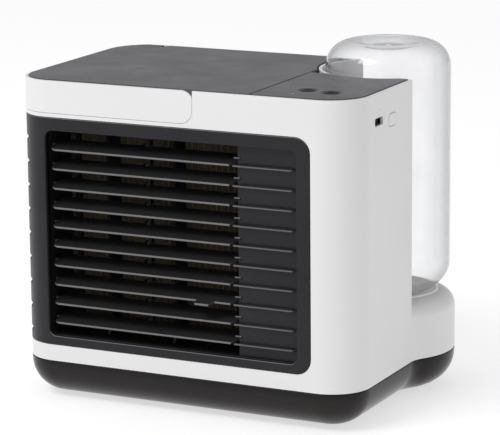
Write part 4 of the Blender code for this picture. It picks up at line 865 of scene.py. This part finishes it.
def make_lid(finish):
    """Lid plate with the barrel of its hinge, cut round the bay and the hinge ears. A small tongue fills the
    notch above the end of its front band."""
    hinge_left, hinge_right = BRACKET_LEFT[1].x + GAP, BRACKET_RIGHT[0].x - GAP
    lid = clipped_plate("lid_plate", LEFT - CLEAR, SPLIT_LEFT, FRONT - CLEAR, HINGE_Y, PLATE_Z, TOP_Z)
    cut(lid, rod("bay", BAY_RADIUS + WALL + 0.001, 0.1, 0.3, (BOTTLE_X, BOTTLE_Y, 0), 128),
        block("left_edge", (LEFT - CLEAR, HINGE_Y - LID_RELIEF, 0.1), (hinge_left, REAR, 0.3)),
        block("right_ear", (hinge_right, REAR - 0.0090, 0.1), (SPLIT_LEFT + CLEAR, REAR, 0.3)))
    join(lid, block("tongue", (BAND_RIGHT - 0.0085, FRONT + WALL / 2, RIM_Z - 0.0056),
                    (BAND_RIGHT - 0.0004, FRONT + WALL + 0.0016, TOP_Z - 0.0008)))
    soften(lid, PLATE_EDGE)
    start, end, r = hinge_left + 0.0005, hinge_right - 0.0005, BARREL_RADIUS
    bore, deep, edge = 0.0013, 0.0055, 0.0003
    barrel = [(0, start + deep), (bore, start + deep), (bore, start), (r - edge, start), (r, start + edge),
              (r, end - edge), (r - edge, end), (bore, end), (bore, end - deep), (0, end - deep)]
    lid = merged("lid_plate", lid, spun("barrel", barrel, (0, HINGE_Y, HINGE_Z), 32, "X"))
    return finished(shade(lid), finish, "dark_top", "lid", "lid_top")


def make_corner(finish):
    """Fixed dark plate behind the lid's rear left edge, level with the lid."""
    corner = clipped_plate("corner_plate", LEFT - CLEAR, BRACKET_LEFT[0].x - GAP, CORNER_FRONT, HINGE_Y,
                           PLATE_Z + 0.0001, TOP_Z)
    return finished(soften(corner, PLATE_EDGE), finish, "dark_top", "housing")


def make_band(finish):
    """Front strip of the lid: its right end is round at both corners, the lower one more so."""
    band = prism("lid_front", strip_plan(BAND_RIGHT, BAND_HIGH.y, WALL), BAND_LOW.z, BAND_HIGH.z)
    keep(band, window("edge", BAND_RIGHT, BAND_LOW.z, RIM_Z + CLEAR, BAND_RADIUS, BAND_HIGH.y, open_top=True))
    rx, rz = BAND_TOP_ROUND
    x, z = BAND_RIGHT - rx, BAND_HIGH.z - rz
    quarter = arc(0, 0, 1, 0, pi / 2, 10) * (rx, rz) + (x, z)
    corner = np.vstack([quarter, [(x, z + 0.02), (x + 0.02, z + 0.02), (x + 0.02, z)]])
    cut(band, prism("corner", corner, FRONT - CLEAR, FRONT + CLEAR, "Y"))
    return finished(soften(band, 0.00025), finish, "white_shell", "lid", "lid_band")


def dished(radius, depth, wide):
    """Cutter for a shallow dish: a cone that opens upwards from the hole's edge."""
    clear = TOP_Z + CLEAR
    return [(0, TOP_Z - depth), (radius, TOP_Z - depth), (wide, TOP_Z + 0.0001), (wide, clear), (0, clear)]


def make_panel(finish):
    """Control plate: a hole in a shallow dish for each button, and one for the light."""
    plate = clipped_plate("control_plate", SPLIT_RIGHT, RIGHT, FRONT - CLEAR, PANEL_HIGH.y, PLATE_Z, TOP_Z)
    soften(plate, PLATE_EDGE)
    below, above = PLATE_Z - CLEAR, TOP_Z + CLEAR
    for node in ("left_button", "right_button"):
        centre = (*middle(node), 0)
        hole = (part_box(node)[1].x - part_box(node)[0].x) / 2 + GAP
        cut(plate, spun("dish", dished(hole, DISH_DEPTH, hole + DISH_WIDER), centre, 64),
            rod("hole", hole, below, above, centre, 64))
    cut(plate, rod("hole", LENS_HOLE, below, above, (*middle("indicator_lens"), 0), 32))
    return finished(shade(plate, 25), finish, "dark_top", "housing", "control_panel")


def make_button(node, finish):
    """Round push button: hollowed top, rounded edge, stem below."""
    low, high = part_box(node)
    x, y = middle(node)
    r = (high.x - low.x) / 2
    top, edge_round, dip, stem = high.z, 0.0008, 0.0007, 0.0016
    hollow = [(r * 0.72 * t, top - dip * (1 - t * t)) for t in np.linspace(1, 0, 8)]
    edge = [(r - edge_round * (1 - sin(a)), top - edge_round * (1 - cos(a)))
            for a in np.linspace(pi / 2, 0, 5)]
    profile = [(0, low.z), (stem, low.z), (stem, low.z + 0.0018), (r, low.z + 0.0022)] + edge + hollow
    return finished(shade(spun(node + "_cap", profile, (x, y, 0), 48)), finish, "dark_top", node, node)


def make_oval(finish):
    """Oval wall button: a pill outline carried out to a slightly crowned face."""
    low, high = OVAL_LOW, OVAL_HIGH
    radius = (high.z - low.z) / 2 - 1e-5
    outline = rounded(low.y, low.z, high.y, high.z, radius, 12)
    profile = [(0, low.x)] + rounded_top(high.x, 0.0005)
    rings = [np.column_stack([np.full(len(outline), x), inward(outline, inset)]) for inset, x in profile]
    return finished(shade(skin("oval_cap", rings)), finish, "white_shell", "side_button", "side_button")


# ---------------------------------------------------------------- bottle and socket

def bottle_curve(offset, steps=16):
    """The bottle's section from its domed end to its neck, moved in by offset. The dome is a quarter of the
    curve |u|^n + |v|^n = 1 between the ring dimple and the wall; the shoulder is part of an ellipse."""
    top = BOTTLE_HIGH.z
    a = np.linspace(0, pi / 2, steps)
    power = 2 / 2.05
    u = BOTTLE_RADIUS - DOME + (DOME - offset) * np.sin(a) ** power
    v = top - DOME + (DOME - offset) * np.cos(a) ** power
    shoulder_z, rx, rz, neck = top - 0.1445, 0.070, 0.030, 0.0145
    turn = np.linspace(0, np.arccos(1 - (BOTTLE_RADIUS - neck) / rx), 14)
    r = BOTTLE_RADIUS - rx * (1 - np.cos(turn)) - offset
    shoulder = np.column_stack([r, shoulder_z - rz * np.sin(turn)])
    return np.vstack([np.column_stack([u, v]), shoulder])


def dimple_curve(offset, steps=14):
    """Ring dimple in the domed end, with a nub in its middle: a cosine dip plus a small cosine bump."""
    edge = BOTTLE_RADIUS - DOME
    r = np.linspace(0, edge, steps, endpoint=False)
    dip = -0.0033 * (0.5 + 0.5 * np.cos(pi * np.clip((r / edge - 0.42) / 0.58, 0, 1)))
    nub = 0.0012 * (0.5 + 0.5 * np.cos(pi * np.clip(r / 0.0035, 0, 1)))
    return np.column_stack([r, BOTTLE_HIGH.z + dip + nub - offset])


def make_bottle(finish):
    """Blown bottle: the outer section down to the neck, round its lip, and the inner section back up."""
    outer = np.vstack([dimple_curve(0), bottle_curve(0)])
    inner = np.vstack([dimple_curve(BOTTLE_WALL), bottle_curve(BOTTLE_WALL)])[::-1]
    lip = BOTTLE_LOW.z
    profile = np.vstack([outer, [(outer[-1, 0], lip + 0.0003), (outer[-1, 0] - 0.0003, lip),
                                 (inner[0, 0] + 0.0003, lip), (inner[0, 0], lip + 0.0003)], inner])
    bottle = spun("clear_bottle", profile, (BOTTLE_X, BOTTLE_Y, 0), 128)
    return finished(shade(bottle, 80), finish, "clear_bottle", "bottle", "bottle")


def make_cap(finish):
    """Screw cap with upright grips: its outer radius ripples as r + g cos(n a)."""
    low, high = CAP_LOW, CAP_HIGH
    radius = (high.x - low.x) / 2
    bore, floor, hole, grips, grip = 0.0148, low.z + 0.0022, 0.0048, 48, 0.0004
    profile = np.array([(hole, low.z), (radius - 0.0012, low.z), (radius - grip, low.z + 0.0008),
                        (radius - grip, high.z - 0.0008), (radius - 0.0010, high.z), (bore, high.z),
                        (bore, floor), (hole, floor)])
    steps = 6 * grips
    a = np.arange(steps) * 2 * pi / steps
    ripple = np.zeros((len(profile), 1))
    ripple[2:4] = grip
    r = profile[:, :1] + ripple * np.cos(grips * a)
    rings = np.stack([BOTTLE_X + r * np.cos(a), BOTTLE_Y + r * np.sin(a), profile[:, 1:] + 0 * a], -1)
    cap = shade(skin("screw_cap", rings, looped=True))
    return finished(cap, finish, "white_shell", "bottle", "bottle_cap")


def make_socket(finish):
    """Funnel under the bottle's neck: a lip ring, a cone, the well and the post in its middle."""
    top, floor = SOCKET_HIGH.z, SOCKET_LOW.z
    ring, edge, well, base, pin = 0.0330, 0.0006, 0.0205, floor + 0.0016, 0.0030
    lip = [(ring - edge * (1 - sin(a)), top - edge * (1 - cos(a))) for a in np.linspace(pi / 2, 0, 5)]
    outer = [(0, floor), (well + 0.0016, floor), (well + 0.0016, top - 0.0204), (0.0315, top - 0.0104),
             (ring, top - 0.0030)]
    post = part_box("cap_valve")[0].z - GAP
    inner = [(0.0315, top), (0.0312, top - 0.0006), (0.0302, top - 0.0094), (well, top - 0.0194),
             (well, base), (pin, base), (pin, post - 0.0004), (pin - 0.0004, post), (0, post)]
    socket = spun("neck_socket", outer + lip + inner, (BOTTLE_X, BOTTLE_Y, 0), 96)
    return finished(shade(socket), finish, "grey_socket", "housing", "bottle_socket")


# ---------------------------------------------------------------- finishes on the solids that stay

def dress_solids(finishes):
    """Each remaining solid takes the finish of its material slot, but what is seen through the louvres and
    in the wall's socket is darker: the filter frame and the socket's shell take the shadow finish as painted
    shade."""
    slots = {part["node"]: part["material_slot"] for part in frame["record"]["subparts"]}
    # filter frame and USB shell: near-black as painted shade of where they sit
    slots.update(filter_frame="shadow", usb_socket="shadow", usb_tongue="charcoal")
    for node, piece in frame["nodes"].items():
        piece.data.materials.clear()
        piece.data.materials.append(finishes[slots[node]])


# ---------------------------------------------------------------- stage, light and camera

WORLD_LIGHT, WORLD_SEEN = 0.58, 1.02


def make_floor():
    f = Finish("floor_paper", Base_Color=(0.5, 0.5, 0.5, 1), Roughness=0.9, Specular_IOR_Level=0.1)
    grain = f.noise(300, 2, 0.5)
    f.set(Normal=f.bump(grain, 0.05, 0.0005), Emission_Color=(1, 1, 1, 1), Emission_Strength=0.62)
    floor = skin("floor", [[(-6, -6, -0.004), (6, -6, -0.004), (6, 6, -0.004), (-6, 6, -0.004)],
                           [(-6, -6, 0), (6, -6, 0), (6, 6, 0), (-6, 6, 0)]])
    floor.data.materials.append(f.material)


def area_light(name, place, target, size, power, colour=(1, 1, 1)):
    data = bpy.data.lights.new(name, "AREA")
    data.shape = "RECTANGLE"
    data.size, data.size_y = size
    data.energy = power
    data.color = colour
    lamp = bpy.data.objects.new(name, data)
    bpy.context.scene.collection.objects.link(lamp)
    lamp.location = place
    lamp.rotation_euler = (Vector(target) - Vector(place)).to_track_quat("-Z", "Y").to_euler()
    return lamp


def light_scene():
    world = bpy.data.worlds.new("studio")
    bpy.context.scene.world = world
    world.use_nodes = True
    tree = world.node_tree
    back = tree.nodes["Background"]
    back.inputs["Color"].default_value = (1, 1, 1, 1)
    path = tree.nodes.new("ShaderNodeLightPath")
    seen = tree.nodes.new("ShaderNodeMath")
    seen.operation = "MAXIMUM"
    tree.links.new(path.outputs["Is Camera Ray"], seen.inputs[0])
    tree.links.new(path.outputs["Is Transmission Ray"], seen.inputs[1])
    level = tree.nodes.new("ShaderNodeMapRange")
    level.inputs["To Min"].default_value = WORLD_LIGHT
    level.inputs["To Max"].default_value = WORLD_SEEN
    tree.links.new(seen.outputs[0], level.inputs["Value"])
    tree.links.new(level.outputs[0], back.inputs["Strength"])
    area_light("key", (-0.75, -1.5, 1.9), (0, 0, 0.1), (1.2, 0.9), 27)
    bpy.context.scene.view_settings.view_transform = "Standard"


def make_camera():
    """Camera at its own yaw, pitch, roll and distance from a point in the object."""
    yaw, pitch, roll, distance = radians(27.02), radians(12.23), radians(-0.72), 1.77312
    target = Vector((-0.02619, -0.00571, 0.11787))
    back = Vector((sin(yaw) * cos(pitch), -cos(yaw) * cos(pitch), sin(pitch)))
    right = (-back).cross(Vector((0, 0, 1))).normalized()
    up = right.cross(-back)
    turned_right = right * cos(roll) + up * sin(roll)
    turned_up = up * cos(roll) - right * sin(roll)
    data = bpy.data.cameras.new("camera")
    camera = bpy.data.objects.new("camera", data)
    bpy.context.scene.collection.objects.link(camera)
    camera.matrix_world = Matrix((
        (turned_right.x, turned_up.x, back.x, target.x + back.x * distance),
        (turned_right.y, turned_up.y, back.y, target.y + back.y * distance),
        (turned_right.z, turned_up.z, back.z, target.z + back.z * distance), (0, 0, 0, 1)))
    data.sensor_width, data.lens = 36, 196.665
    data.shift_x, data.shift_y = 0.0872, -0.0211
    data.clip_start, data.clip_end = 0.05, 50
    bpy.context.scene.camera = camera


# ---------------------------------------------------------------- all together

def main():
    finishes = {
        "white_shell": white_plastic(), "dark_top": dark_plate_plastic(), "charcoal": charcoal_plastic(),
        "smoke_tray": smoked_plastic(), "clear_bottle": clear_plastic(), "grey_socket": socket_plastic(),
        "filter_paper": wick_paper(), "inner_grey": inner_plastic(), "board_green": circuit_board(),
        "steel": plated_steel(), "rubber": soft_rubber(), "lens": frosted_lens(), "shadow": shadow_plastic()}
    dress_solids(finishes)
    blades = blade_plastic()
    make_tray(finishes["smoke_tray"])
    make_shell(finishes["white_shell"])
    make_bezel(finishes["charcoal"])
    for name in BLADES:
        make_louvre(name, blades)
    make_frame(finishes["charcoal"])
    make_blank(rib_plastic())
    # the link bar takes the near-black shadow finish as painted shade, deep behind the louvres
    make_link(finishes["shadow"])
    make_pad(finishes["filter_paper"])
    make_lid(finishes["dark_top"])
    make_corner(finishes["dark_top"])
    make_band(finishes["white_shell"])
    make_panel(finishes["dark_top"])
    # the caps are dark plastic; the near-black shadow finish also paints the shade of their dishes
    make_button("left_button", finishes["shadow"])
    make_button("right_button", finishes["shadow"])
    make_oval(finishes["white_shell"])
    make_bottle(finishes["clear_bottle"])
    make_cap(finishes["white_shell"])
    make_socket(finishes["grey_socket"])
    make_floor()
    light_scene()
    make_camera()


main()
